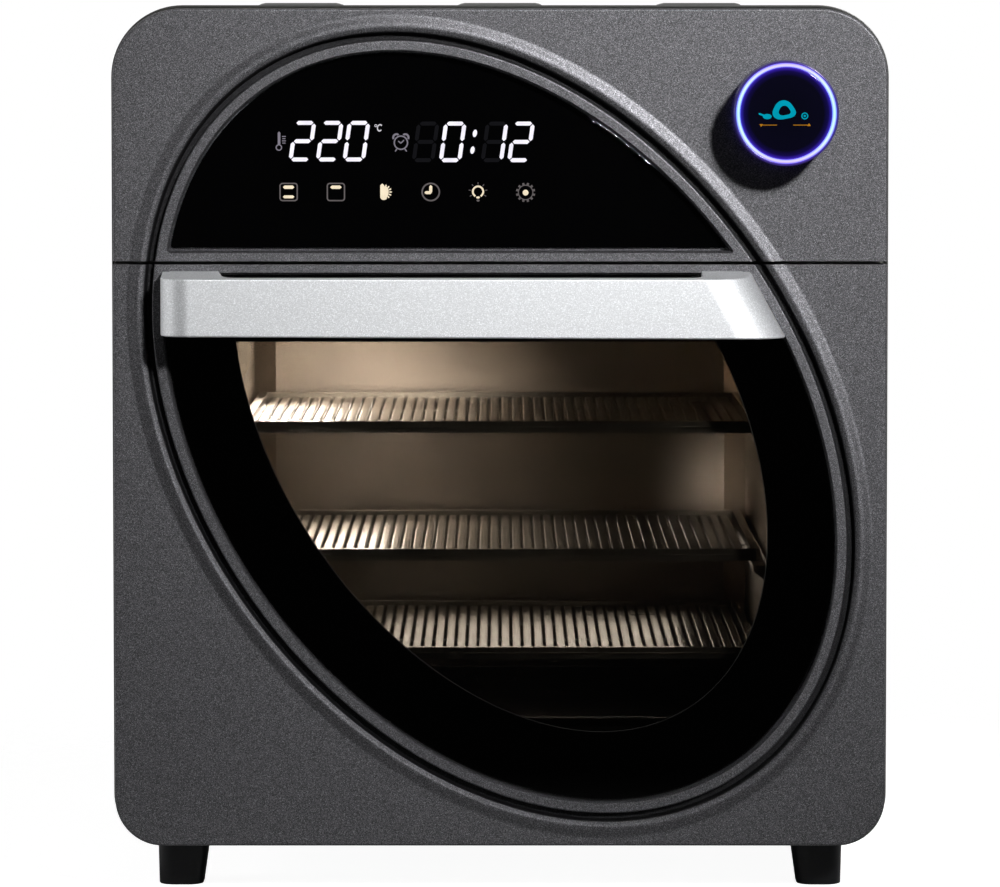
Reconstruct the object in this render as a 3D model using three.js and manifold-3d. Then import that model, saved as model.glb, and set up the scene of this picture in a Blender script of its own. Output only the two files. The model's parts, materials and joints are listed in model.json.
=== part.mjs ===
// Countertop air fryer oven with a slanted oval front, in millimetres.
// X runs to the right, Y from the front to the rear, and Z up from the surface that it stands on.
// While the pieces are made, Y is 0 on the flat front face of the door and fascia.

import * as THREE from 'three';
import { mergeVertices } from 'three/addons/utils/BufferGeometryUtils.js';
import Module from 'manifold-3d';

const wasm = await Module();
wasm.setup();

// Overall sizes
const bodyWidth = 342;
const bodyHeight = 371;
const bodyDepth = 312;
const footHeight = 20;
const sheet = 1.2;
const topRadius = 31.6;
const bottomRadius = 22.6;
const fitGap = 0.3;
const overrun = 2;

// Counts of facets
const ovalSteps = 60;
const cornerSteps = 3;
const slotSteps = 1;
const roundSteps = 20;
const knobSteps = 30;
const smallSteps = 12;
const postSteps = 8;

// Door and fascia mouldings
const panelInset = 1.6;
const panelDepth = 18;
const panelSkin = 3;
const panelWall = 2.5;
const panelFillet = 1.2;
const splitDrop = 112.6;
const splitGap = 1.4;
const panelBossRadius = 4;
const panelBossInset = 19;
const panelBossDrop = 9;

// Oval surround: a lip round the glass, a groove and a soft bead
const ovalSideMargin = 23.17;
const ovalTopMargin = 19.89;
const ovalBottomMargin = 20.69;
const ovalShortInset = 19.73;
const rebateClearance = 0.9;
const lipChamfer = 1;
const lipWidth = 3.4;
const lipRise = 1.1;
const lipEdge = 0.8;
const grooveWidth = 2.4;
const grooveDepth = 2.2;
const beadInnerWidth = 3.6;
const beadOuterWidth = 6.4;
const beadRise = 1.7;
const beadSink = 0.05;
const beadInnerSteps = 2;
const beadOuterSteps = 3;
const surroundBack = 6;
const ledgeWidth = 5;
const surroundBite = 1;

// Glass
const glassSetback = 0.6;
const glassThickness = 3;
const controlGlassRise = 6.4;
const fasciaRailRise = 5.6;
const doorRailDrop = 4.9;
const doorLedgeDrop = 9.9;

// Handle
const handleReach = 27;
const handleBar = 10;
const handleDrop = 5.2;
const handleHeight = 27.2;
const handleSlope = 1.7;
const handleOverlap = 1.8;
const handleTuck = 0.5;
const handleStandOff = 1.5;
const handleLeftInset = 21;
const handleRightInset = 39;
const handleLeftRadius = 13;
const handleRightRadius = 20;
const fingerGapLeftInset = 48;
const fingerGapRightInset = 83;
const fingerGapRadius = 6;
const handleRightLean = 16;

// Door back, inner glass and hinges
const innerGlassThickness = 3.2;
const innerGlassMargin = 6;
const innerPanelFlange = 6;
const hingeAxisDepth = 12.5;
const hingeAxisHeight = 28;
const hingePinRadius = 2;
const hingePinLength = 17;
const hingeEyeRadius = 3.7;
const hingeRunGap = 0.25;
const hingePressGap = 0.1;
const hingeInset = 34;
const hingeArmWidth = 3.4;
const hingeSideGap = 0.5;
const hingeKnuckleWidth = 3.6;
const hingePlateWidth = 18;
const hingePlateHeight = 26;
const hingePlateThickness = 2;
const hingeSlotRise = 6;
const hingeBottomNotch = 4.5;
const strikeWidth = 22;
const strikeHeight = 6;
const strikeThickness = 1.5;
const catchDepth = 9;
const catchDrop = 4;
const catchInset = 29;

// Front frame and seal
const frameSetback = 22;
const housingSetback = 19;
const sealInset = 3;
const sealWidth = 6;
const sealRadius = 8;
const sealHeadShare = 0.8;
const harnessSlotWidth = 60;
const harnessSlotHeight = 18;

// Cooking chamber
const cavitySideGap = 53;
const cavityFloorRise = 26;
const cavityCeilingDrop = 10.4;
const cavityRearGap = 42;
const cavitySheet = 1;
const cornerCutWidth = 9.6;
const cornerCutDepth = 15;
const mouthRadius = 3;
const mouthSill = 6;
const mouthHead = 2;
const runnerReach = 6;
const runnerLip = 2.5;
const runnerFlare = 5;
const cavityFlange = 3;

// Racks and tray
const rackLevelShares = { rack_upper: 0.6508, rack_middle: 0.3565, rack_lower: 0.1295 };
const rackHeight = 5.3;
const rackFrameWidth = 4;
const rackSideGap = 2.5;
const rackFrontGap = 6;
const rackRearGap = 14.5;
const rackCornerRadius = 6;
const wirePitch = 5;
const wireRadius = 1.25;
const wireSides = 3;
const wireDrop = 0.4;
const tieWidth = 3;
const tieGap = 0.1;
const trayRise = 29;
const trayDepth = 13;
const traySheet = 0.9;
const trayRimWidth = 5;
const trayRadius = 10;
const trayTaper = 2;

// Fan, heater and lamp
const ceilingOpeningRadius = 74;
const guardEdgeGap = 2;
const guardThickness = 1;
const guardHubRadius = 12;
const guardRingWidth = 12;
const guardSlotWidth = 5;
const guardRings = 4;
const guardFirstSlots = 4;
const guardMoreSlots = 1;
const guardSteps = 1;
const guardSlotShare = 0.8;
const domeRadius = 84;
const domeHeight = 34;
const domeSheet = 1;
const domeFlange = 8;
const domeShoulder = 10;
const bladeRadius = 62;
const bladeHeight = 9;
const bladeCount = 8;
const bladeThickness = 1.2;
const bladeLean = 0.35;
const bladeHeadGap = 4.6;
const hubRadius = 9;
const coolerRadius = 46;
const coolerHeight = 7;
const coolerGap = 4.4;
const shaftRadius = 3;
const shaftTip = 13;
const shaftSeat = 6;
const shaftPressGap = 0.1;
const shaftRunGap = 0.25;
const shaftEndGap = 0.6;
const motorGap = 16.4;
const motorRadius = 26;
const motorHeight = 30;
const motorCapHeight = 5;
const bracketSpan = 136;
const bracketWidth = 30;
const bracketSheet = 1.5;
const bracketFoot = 12;
const elementRadius = 3.25;
const elementSides = 6;
const upperElementLift = 7.4;
const upperElementBand = 24;
const upperElementSideGap = 18;
const upperElementLobes = 5;
const upperElementEndGap = 16;
const upperElementEndTurn = 0.17;
const upperElementSteps = 42;
const upperElementRise = 30;
const lowerElementLift = 9;
const lowerElementSideGap = 30;
const lowerElementFrontGap = 36.5;
const lowerElementSpread = 34;
const lowerElementRadius = 17;
const lowerElementBendSteps = 4;
const elementHoleGap = 0.4;
const elementTail = 10;
const lampSetback = 71.5;
const lampLower = 0.95;
const lampHoleRadius = 17;
const lampFlangeRadius = 20;
const lampDome = 5;
const lensSwellShare = 0.75;
const lampGlass = 1.6;
const lampHolderDepth = 26;
const lampHolderRadius = 19;
const lampHolderWall = 2;
const lampBulbRadius = 8;
const lampBulbLength = 19;
const lampBaseRadius = 5;
const probeRadius = 2;
const probeLength = 28;
const probeOffset = 62;
const probeDrop = 20;
const probeFlangeRadius = 7;
const probeFlangeThickness = 3;
const cutoutRadius = 8;
const cutoutHeight = 8;
const cutoutInset = 18;

// Control electronics
const ledInset = 71;
const ledWidth = 120;
const ledDrop = 49;
const ledHeight = 24;
const ledThickness = 4.8;
const boardLeftMargin = 6;
const boardRightMargin = 10;
const boardTopMargin = 12;
const boardBottomMargin = 28;
const boardThickness = 1.6;
const boardPostRadius = 3;
const boardPostInset = 5;
const powerBoardInset = 21;
const powerBoardWidth = 110;
const powerBoardDrop = 19;
const powerBoardHeight = 80;
const powerBoardPost = 4;
const transformerWidth = 34;
const transformerHeight = 28;
const transformerDepth = 24;
const relayWidth = 20;
const relayHeight = 16;
const relayDepth = 15;
const reedWidth = 20;
const reedHeight = 8;
const reedDepth = 6;

// Knob
const knobInset = 46.9;
const knobDrop = 47.1;
const knobRadius = 23.3;
const knobDraft = 0.5;
const knobLength = 18.4;
const knobLift = 2.6;
const knobWall = 1.2;
const knobWebSetback = 9;
const knobHubRadius = 12;
const knobEdge = 0.8;
const ringLightWidth = 2;
const ringLightDepth = 3;
const knobSideGap = 0.3;
const knobCoreHead = 4;
const knobStemRadius = 8.5;
const knobStemEnd = 13;
const knobRunGap = 0.3;
const lensThickness = 1.5;
const encoderBushRadius = 10.5;
const encoderSide = 32;
const encoderDepth = 14;
const fasciaBoreGap = 0.3;
const wellRadius = 25.5;
const wellDepth = 0.8;

// Feet, vents and cable gland
const footWidth = 22.8;
const footTaper = 2;
const footLength = 24;
const footInset = 18.5;
const footSetback = 30;
const footRearSetback = 26;
const footCorner = 5;
const footPadRecess = 1.5;
const footPadMargin = 4;
const footSteps = 2;
const louvreWidth = 43;
const louvreLength = 9;
const louvreRise = 1.8;
const louvreSlope = 4;
const louvrePitch = 18;
const louvreRows = 3;
const louvreInset = 80;
const louvreStart = 120;
const louvreMouth = 1;
const louvreRampShare = 0.55;
const housingFlange = 30;
const ventWidth = 46;
const ventHeight = 3.5;
const ventPitch = 9;
const ventRows = 5;
const ventGap = 12;
const ventDrop = 25;
const baseVentRows = 7;
const baseVentLength = 60;
const rearFlange = 8;
const glandInset = 53;
const glandHeight = 62;
const glandRadius = 9;
const glandBoreRadius = 4;
const glandFlangeRadius = 12;
const glandFlange = 3;
const glandInner = 8;
const glandEdge = 0.6;

// Housing, door and fascia, as they follow from the sizes above
const halfWidth = bodyWidth / 2;
const housingTop = footHeight + bodyHeight;
const splitHeight = housingTop - splitDrop;
const panelHalf = halfWidth - panelInset;
const panelBottom = footHeight + panelInset;
const panelTop = housingTop - panelInset;
const panelTopRadius = topRadius - panelInset;
const panelBottomRadius = bottomRadius - panelInset;
const fasciaBottom = splitHeight + splitGap / 2;
const doorTop = splitHeight - splitGap / 2;
const fullTurn = Math.PI * 2;
const quarterTurn = Math.PI / 2;

// The oval fills the panel inside its margins, and its tilt follows from its short half length.
const ovalHalfWidth = panelHalf - ovalSideMargin;
const ovalHalfHeight = (panelTop - ovalTopMargin - panelBottom - ovalBottomMargin) / 2;
const ovalCentreHeight = panelBottom + ovalBottomMargin + ovalHalfHeight;
const ovalShort = ovalHalfWidth - ovalShortInset;
const ovalLong = Math.sqrt(ovalHalfWidth ** 2 + ovalHalfHeight ** 2 - ovalShort ** 2);
const ovalTilt = Math.acos(Math.sqrt(
  (ovalHalfWidth ** 2 - ovalShort ** 2) / (ovalLong ** 2 - ovalShort ** 2),
));

// Glass and handle
const controlGlassBottom = splitHeight + controlGlassRise;
const fasciaRailTop = splitHeight + fasciaRailRise;
const doorRailBottom = splitHeight - doorRailDrop;
const doorLedgeBottom = splitHeight - doorLedgeDrop;
const glassBack = glassSetback + glassThickness;
const floorFront = glassBack + fitGap;
const handleTopRear = splitHeight - handleDrop;
const handleTopFront = handleTopRear - handleSlope;
const handleBottom = handleTopRear - handleHeight;
const handleLeftEnd = -halfWidth + handleLeftInset;
const handleRightEnd = halfWidth - handleRightInset;
const fingerGapLeft = -halfWidth + fingerGapLeftInset;
const fingerGapRight = halfWidth - fingerGapRightInset;
const hingeOffset = halfWidth - hingeInset;
const catchOffset = halfWidth - catchInset;

// Chamber, racks and tray
const cavityHalf = halfWidth - cavitySideGap;
const cavityFloorHeight = footHeight + cavityFloorRise;
const cavityCeilingHeight = splitHeight - cavityCeilingDrop;
const cavityFront = frameSetback + sheet + fitGap;
const cavityBack = bodyDepth - cavityRearGap;
const cornerStart = cavityBack - cornerCutDepth;
const ceilingTop = cavityCeilingHeight + fitGap + cavitySheet;
const trayRimHeight = cavityFloorHeight + trayRise;
const rackLevels = Object.fromEntries(Object.entries(rackLevelShares).map(
  ([name, share]) => [name, trayRimHeight + (cavityCeilingHeight - trayRimHeight) * share],
));
const rackHalf = cavityHalf - rackSideGap;
const rackFront = cavityFront + rackFrontGap;
const rackBack = cavityBack - rackRearGap;

// Fan, heaters and lamp
const fanCentreDepth = (cavityFront + cavityBack) / 2;
const domeLow = ceilingTop + fitGap;
const domeHigh = domeLow + domeHeight;
const bladeTop = domeHigh - bladeHeadGap;
const coolerBottom = domeHigh + coolerGap;
const motorBottom = domeHigh + motorGap;
const shaftBottom = bladeTop - shaftTip;
const shaftTop = motorBottom + shaftSeat;
const guardRadius = domeRadius - guardEdgeGap;
const upperElementOuter = domeRadius - upperElementSideGap;
const upperElementInner = upperElementOuter - upperElementBand;
const upperElementEndRadius = domeRadius - upperElementEndGap;
const upperElementHeight = domeLow + upperElementLift;
const lowerElementHeight = cavityFloorHeight + lowerElementLift;
const lowerElementReach = cavityHalf - lowerElementSideGap;
const lowerElementFront = cavityFront + lowerElementFrontGap;
const lampDepth = cavityFront + lampSetback;
const lampHeight = (rackLevels.rack_upper + rackHeight + cavityCeilingHeight) / 2 - lampLower;

// Control electronics and knob
const ledLeft = -halfWidth + ledInset;
const ledRight = ledLeft + ledWidth;
const ledTop = housingTop - ledDrop;
const ledBottom = ledTop - ledHeight;
const boardLeft = ledLeft - boardLeftMargin;
const boardRight = ledRight + boardRightMargin;
const boardTop = ledTop + boardTopMargin;
const boardBottom = ledBottom - boardBottomMargin;
const powerBoardLeft = -halfWidth + powerBoardInset;
const powerBoardRight = powerBoardLeft + powerBoardWidth;
const powerBoardTop = housingTop - powerBoardDrop;
const powerBoardBottom = powerBoardTop - powerBoardHeight;
const knobOffset = halfWidth - knobInset;
const knobHeight = housingTop - knobDrop;

// Feet, vents and gland
const footOuterOffset = halfWidth - footInset;
const louvreOffset = halfWidth - louvreInset;
const ventTop = housingTop - ventDrop;
const glandOffset = -halfWidth + glandInset;

// Solids: a closed mesh becomes a solid, and solids are joined and cut

function solidFrom(positions, triangles) {
  let volume = 0;
  const a = new THREE.Vector3();
  const b = new THREE.Vector3();
  const c = new THREE.Vector3();
  for (const [i, j, k] of triangles) {
    a.fromArray(positions, i * 3);
    b.fromArray(positions, j * 3);
    c.fromArray(positions, k * 3);
    volume += a.dot(b.cross(c));
  }
  const outward = volume > 0 ? triangles : triangles.map(([i, j, k]) => [i, k, j]);
  return new wasm.Manifold(new wasm.Mesh({
    numProp: 3,
    vertProperties: new Float32Array(positions),
    triVerts: new Uint32Array(outward.flat()),
  }));
}

function solidOf(geometry) {
  const bare = geometry.clone();
  bare.deleteAttribute('normal');
  bare.deleteAttribute('uv');
  const merged = mergeVertices(bare);
  const index = merged.index.array;
  const triangles = [];
  for (let i = 0; i < index.length; i += 3) {
    const [p, q, r] = index.slice(i, i + 3);
    if (p !== q && q !== r && r !== p) triangles.push([p, q, r]);
  }
  return solidFrom(Array.from(merged.attributes.position.array), triangles);
}

const join = (first, ...others) => others.reduce((sum, next) => sum.add(next), first);
const cut = (first, ...others) => others.reduce((rest, next) => rest.subtract(next), first);

function geometryOf(solid) {
  const mesh = solid.getMesh();
  const geometry = new THREE.BufferGeometry();
  geometry.setAttribute('position', new THREE.BufferAttribute(mesh.vertProperties, 3));
  geometry.setIndex(new THREE.BufferAttribute(mesh.triVerts, 1));
  geometry.computeVertexNormals();
  return geometry;
}

// Shapes and how they are drawn out

function block(left, right, front, back, low, high) {
  const geometry = new THREE.BoxGeometry(right - left, back - front, high - low);
  geometry.translate((left + right) / 2, (front + back) / 2, (low + high) / 2);
  return solidOf(geometry);
}

// A shape in X and Z, drawn out from front to back
function frontSlab(shape, front, back, bevel = 0, curveSegments = cornerSteps) {
  const geometry = new THREE.ExtrudeGeometry(shape, {
    depth: back - front - bevel,
    curveSegments,
    steps: 1,
    bevelEnabled: bevel > 0,
    bevelThickness: bevel,
    bevelSize: bevel,
    bevelOffset: -bevel,
    bevelSegments: cornerSteps,
  });
  geometry.rotateX(quarterTurn);
  geometry.translate(0, back, 0);
  return bevel > 0 ? cut(solidOf(geometry), block(
    -bodyWidth, bodyWidth, back, back + bevel + overrun, -bodyHeight, bodyHeight * 2,
  )) : solidOf(geometry);
}

// A shape in X and Y, drawn out upwards
function planSlab(shape, low, high, curveSegments = cornerSteps) {
  const geometry = new THREE.ExtrudeGeometry(shape, {
    depth: high - low,
    curveSegments,
    steps: 1,
    bevelEnabled: false,
  });
  geometry.translate(0, 0, low);
  return solidOf(geometry);
}

// A shape in Y and Z, drawn out from left to right
function sideSlab(shape, left, right) {
  const geometry = new THREE.ExtrudeGeometry(shape, {
    depth: right - left,
    curveSegments: cornerSteps,
    steps: 1,
    bevelEnabled: false,
  });
  geometry.applyMatrix4(new THREE.Matrix4().makeBasis(
    new THREE.Vector3(0, 1, 0), new THREE.Vector3(0, 0, 1), new THREE.Vector3(1, 0, 0),
  ));
  geometry.translate(left, 0, 0);
  return solidOf(geometry);
}

const rods = {
  x(radius, left, right, y, z, sides = smallSteps) {
    const geometry = new THREE.CylinderGeometry(radius, radius, right - left, sides);
    geometry.rotateZ(quarterTurn);
    return solidOf(geometry.translate((left + right) / 2, y, z));
  },
  y(radius, front, back, x, z, sides = smallSteps) {
    const geometry = new THREE.CylinderGeometry(radius, radius, back - front, sides);
    return solidOf(geometry.translate(x, (front + back) / 2, z));
  },
  z(radius, low, high, x, y, sides = smallSteps) {
    const geometry = new THREE.CylinderGeometry(radius, radius, high - low, sides);
    geometry.rotateX(quarterTurn);
    return solidOf(geometry.translate(x, y, (low + high) / 2));
  },
};

// A profile of [radius, height] pairs turned round an axis
function turned(profile, sides = roundSteps) {
  const points = profile.map(([radius, along]) => new THREE.Vector2(radius, along));
  return new THREE.LatheGeometry(points, sides);
}

const turnedUp = (profile, x, y, sides) => solidOf(
  turned(profile, sides).rotateX(quarterTurn).translate(x, y, 0),
);
const turnedBack = (profile, x, z, sides) => solidOf(turned(profile, sides).translate(x, 0, z));
const turnedAcross = (profile, y, z, sides) => solidOf(
  turned(profile, sides).rotateZ(-quarterTurn).translate(0, y, z),
);

function roundedRect(left, right, low, high, lowRadius, highRadius = lowRadius) {
  const shape = new THREE.Shape();
  shape.absarc(right - lowRadius, low + lowRadius, lowRadius, -quarterTurn, 0);
  shape.absarc(right - highRadius, high - highRadius, highRadius, 0, quarterTurn);
  shape.absarc(left + highRadius, high - highRadius, highRadius, quarterTurn, Math.PI);
  shape.absarc(left + lowRadius, low + lowRadius, lowRadius, Math.PI, Math.PI + quarterTurn);
  return shape;
}

// Outline of the housing, drawn in by a given amount
const housingOutline = (inset) => roundedRect(
  -halfWidth + inset, halfWidth - inset, footHeight + inset, housingTop - inset,
  bottomRadius - inset, topRadius - inset,
);

function polygon(points) {
  return new THREE.Shape(points.map(([u, v]) => new THREE.Vector2(u, v)));
}

// Rings of equal count, skinned from one to the next and closed by flat ends
function loft(rings) {
  const count = rings[0].length;
  const positions = rings.flat().flatMap((point) => point.toArray());
  const triangles = [];
  for (let ring = 0; ring < rings.length - 1; ring++) {
    for (let i = 0; i < count; i++) {
      const here = ring * count + i;
      const next = ring * count + (i + 1) % count;
      triangles.push([here, next, next + count], [here, next + count, here + count]);
    }
  }
  const last = (rings.length - 1) * count;
  for (let i = 1; i < count - 1; i++) {
    triangles.push([0, i + 1, i], [last, last + i, last + i + 1]);
  }
  return solidFrom(positions, triangles);
}

// A round tube along a curve
function tube(curve, radius, sides, steps) {
  const ring = new THREE.Shape();
  for (let i = 0; i < sides; i++) {
    const turn = fullTurn * i / sides;
    const corner = [radius * Math.cos(turn), radius * Math.sin(turn)];
    if (i === 0) ring.moveTo(...corner);
    else ring.lineTo(...corner);
  }
  return solidOf(new THREE.ExtrudeGeometry(ring, { steps, extrudePath: curve }));
}

// Oval surround

function ovalPoint(turn, offset) {
  const normal = new THREE.Vector2(
    ovalShort * Math.cos(turn), ovalLong * Math.sin(turn),
  ).normalize();
  const along = ovalLong * Math.cos(turn) + normal.x * offset;
  const across = ovalShort * Math.sin(turn) + normal.y * offset;
  return new THREE.Vector2(
    along * Math.cos(ovalTilt) + across * Math.sin(ovalTilt),
    across * Math.cos(ovalTilt) - along * Math.sin(ovalTilt) + ovalCentreHeight,
  );
}

function ovalShape(offset) {
  const points = [];
  for (let i = 0; i < ovalSteps; i++) points.push(ovalPoint(fullTurn * i / ovalSteps, offset));
  return new THREE.Shape(points);
}

const lipOuter = rebateClearance + lipChamfer + lipWidth;
const grooveStart = lipOuter + lipEdge;
const grooveEnd = grooveStart + grooveWidth;
const beadCrest = grooveEnd + beadInnerWidth;
const surroundOuter = beadCrest + beadOuterWidth;

// A run of points that eases from one level to another like half a wave
function easedRun(from, to, levelFrom, levelTo, steps) {
  const points = [];
  for (let i = 1; i <= steps; i++) {
    const share = i / steps;
    const eased = (1 - Math.cos(Math.PI * share)) / 2;
    points.push([from + (to - from) * share, levelFrom + (levelTo - levelFrom) * eased]);
  }
  return points;
}

// Section of the surround: distance out from the glass edge, and depth
function surroundSection() {
  return [
    [-ledgeWidth, floorFront],
    [rebateClearance, floorFront],
    [rebateClearance, 0],
    [rebateClearance + lipChamfer, -lipRise],
    [lipOuter, -lipRise],
    [grooveStart, grooveDepth / 2],
    [grooveStart + grooveWidth / 2, grooveDepth],
    ...easedRun(grooveStart + grooveWidth / 2, beadCrest, grooveDepth, -beadRise, beadInnerSteps),
    ...easedRun(beadCrest, surroundOuter, -beadRise, beadSink, beadOuterSteps),
    [surroundOuter, surroundBack],
    [-ledgeWidth, surroundBack],
  ];
}

function ovalSurround() {
  const section = surroundSection();
  const count = section.length;
  const positions = [];
  const triangles = [];
  for (let step = 0; step < ovalSteps; step++) {
    for (const [offset, depth] of section) {
      const point = ovalPoint(fullTurn * step / ovalSteps, offset);
      positions.push(point.x, depth, point.y);
    }
    for (let i = 0; i < count; i++) {
      const here = step * count + i;
      const next = step * count + (i + 1) % count;
      const ahead = ((step + 1) % ovalSteps) * count;
      const hereAhead = ahead + i;
      const nextAhead = ahead + (i + 1) % count;
      triangles.push([here, next, nextAhead], [here, nextAhead, hereAhead]);
    }
  }
  return solidFrom(positions, triangles);
}

// The whole front moulding, before it is parted into fascia and door
function frontMoulding() {
  const outline = roundedRect(
    -panelHalf, panelHalf, panelBottom, panelTop, panelBottomRadius, panelTopRadius,
  );
  const inner = roundedRect(
    -panelHalf + panelWall, panelHalf - panelWall, panelBottom + panelWall, panelTop - panelWall,
    panelBottomRadius - panelWall, panelTopRadius - panelWall,
  );
  const shell = cut(
    frontSlab(outline, 0, panelDepth, panelFillet),
    frontSlab(inner, panelSkin, panelDepth + overrun),
    frontSlab(ovalShape(surroundOuter - surroundBite), -overrun, panelSkin + overrun),
  );
  return join(shell, ovalSurround());
}

const above = (height) => block(
  -bodyWidth, bodyWidth, -bodyDepth, bodyDepth, height, housingTop + bodyHeight,
);
const below = (height) => block(
  -bodyWidth, bodyWidth, -bodyDepth, bodyDepth, -bodyHeight, height,
);
const between = (low, high) => block(
  -bodyWidth, bodyWidth, -bodyDepth, bodyDepth, low, high,
);

const moulding = frontMoulding();
const lipPlate = frontSlab(ovalShape(lipOuter), -lipRise, surroundBack);
const ledgePlate = frontSlab(ovalShape(0), floorFront, surroundBack);

// Control fascia

function boardPosts(left, right, low, high) {
  const inset = boardPostInset;
  return [[left + inset, low + inset], [right - inset, low + inset],
    [left + inset, high - inset], [right - inset, high - inset]];
}

function controlFascia() {
  const crossWall = block(
    -panelHalf + panelWall, panelHalf - panelWall, panelSkin, panelDepth,
    fasciaBottom, fasciaBottom + panelWall,
  );
  const rail = lipPlate.intersect(between(fasciaBottom, fasciaRailTop));
  const recessFloor = ledgePlate.intersect(above(fasciaBottom));
  const posts = boardPosts(boardLeft, boardRight, boardBottom, boardTop).map(
    ([x, z]) => rods.y(boardPostRadius, floorFront, ledBack, x, z, postSteps),
  );
  const bosses = [];
  for (const side of [-1, 1]) {
    for (const height of [fasciaBottom + panelBossDrop, panelTop - panelBossInset]) {
      bosses.push(rods.y(
        panelBossRadius, panelSkin / 2, frameSetback - fitGap,
        side * (panelHalf - panelBossInset + panelBossDrop), height, postSteps,
      ));
    }
  }
  const body = join(moulding.intersect(above(fasciaBottom)), crossWall, rail, recessFloor,
    ...posts, ...bosses);
  return cut(
    body,
    block(ledLeft - fitGap, ledRight + fitGap, 0, surroundBack + overrun,
      ledBottom - fitGap, ledTop + fitGap),
    rods.y(encoderBushRadius + fasciaBoreGap, -overrun, panelDepth, knobOffset, knobHeight,
      roundSteps),
    rods.y(wellRadius, -overrun, wellDepth, knobOffset, knobHeight, knobSteps),
  );
}

const controlGlass = () => frontSlab(ovalShape(0), glassSetback, glassBack)
  .intersect(above(controlGlassBottom));

// Display, boards and switches

const ledFront = floorFront;
const ledBack = ledFront + ledThickness;
const boardFront = ledBack + fitGap;

const ledDisplay = () => block(ledLeft, ledRight, ledFront, ledBack, ledBottom, ledTop);

const displayBoard = () => block(
  boardLeft, boardRight, boardFront, boardFront + boardThickness, boardBottom, boardTop,
);

function powerBoard() {
  const back = frameSetback + sheet + fitGap + powerBoardPost;
  const posts = boardPosts(powerBoardLeft, powerBoardRight, powerBoardBottom, powerBoardTop).map(
    ([x, z]) => rods.y(boardPostRadius, frameSetback + sheet + fitGap, back + boardThickness / 2,
      x, z, postSteps),
  );
  const plate = block(powerBoardLeft, powerBoardRight, back, back + boardThickness,
    powerBoardBottom, powerBoardTop);
  const middle = (powerBoardBottom + powerBoardTop) / 2;
  const front = back + boardThickness / 2;
  const transformer = block(
    powerBoardLeft + transformerWidth / 2, powerBoardLeft + transformerWidth * 3 / 2,
    front, front + transformerDepth, middle - transformerHeight / 2,
    middle + transformerHeight / 2,
  );
  const relays = [-1, 1].map((side) => block(
    powerBoardRight - relayWidth * 3 / 2, powerBoardRight - relayWidth / 2, front,
    front + relayDepth, middle + side * relayHeight - relayHeight / 2,
    middle + side * relayHeight + relayHeight / 2 - fitGap,
  ));
  return join(plate, transformer, ...relays, ...posts);
}

const reedSwitch = () => block(
  catchOffset - reedWidth * 2, catchOffset - reedWidth, frameSetback - fitGap - reedDepth,
  frameSetback - fitGap, fasciaBottom + panelWall + fitGap,
  fasciaBottom + panelWall + fitGap + reedHeight,
);

// Knob: a turning grip ring round a pushing core with a lit ring and a round display

const knobFront = -(knobLift + knobLength);
const lightOuter = knobRadius - knobDraft - knobWall;
const lensRadius = lightOuter - ringLightWidth - knobSideGap;

function knobRing() {
  const webFront = knobFront + knobWebSetback;
  return turnedBack([
    [knobHubRadius, webFront],
    [knobHubRadius, -knobLift],
    [knobRadius, -knobLift],
    [knobRadius, knobFront + knobLength / 2],
    [knobRadius - knobDraft, knobFront + knobEdge],
    [knobRadius - knobDraft - knobEdge / 2, knobFront],
    [lightOuter + knobSideGap, knobFront],
    [lightOuter + knobSideGap, webFront],
    [knobHubRadius, webFront],
  ], knobOffset, knobHeight, knobSteps);
}

const knobLightRing = () => turnedBack([
  [lightOuter - ringLightWidth, knobFront],
  [lightOuter - ringLightWidth, knobFront + ringLightDepth],
  [lightOuter, knobFront + ringLightDepth],
  [lightOuter, knobFront],
  [lightOuter - ringLightWidth, knobFront],
], knobOffset, knobHeight, knobSteps);

function knobCore() {
  const headFront = knobFront + ringLightDepth + fitGap;
  return turnedBack([
    [0, headFront],
    [0, knobStemEnd],
    [knobStemRadius, knobStemEnd],
    [knobStemRadius, headFront + knobCoreHead],
    [lightOuter, headFront + knobCoreHead],
    [lightOuter, headFront],
    [0, headFront],
  ], knobOffset, knobHeight, roundSteps);
}

const knobLens = () => turnedBack([
  [0, knobFront],
  [0, knobFront + lensThickness],
  [lensRadius, knobFront + lensThickness],
  [lensRadius, knobFront],
  [0, knobFront],
], knobOffset, knobHeight, knobSteps);

function encoderBody() {
  const bore = knobStemRadius + knobRunGap;
  const casing = block(
    knobOffset - encoderSide / 2, knobOffset + encoderSide / 2, panelSkin + fitGap,
    panelSkin + fitGap + encoderDepth, knobHeight - encoderSide / 2, knobHeight + encoderSide / 2,
  );
  const bush = rods.y(encoderBushRadius, 0, panelSkin + encoderDepth / 2, knobOffset, knobHeight,
    roundSteps);
  return cut(join(casing, bush), rods.y(
    bore, -overrun, knobStemEnd + overrun / 2, knobOffset, knobHeight, roundSteps,
  ));
}

// Door

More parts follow.
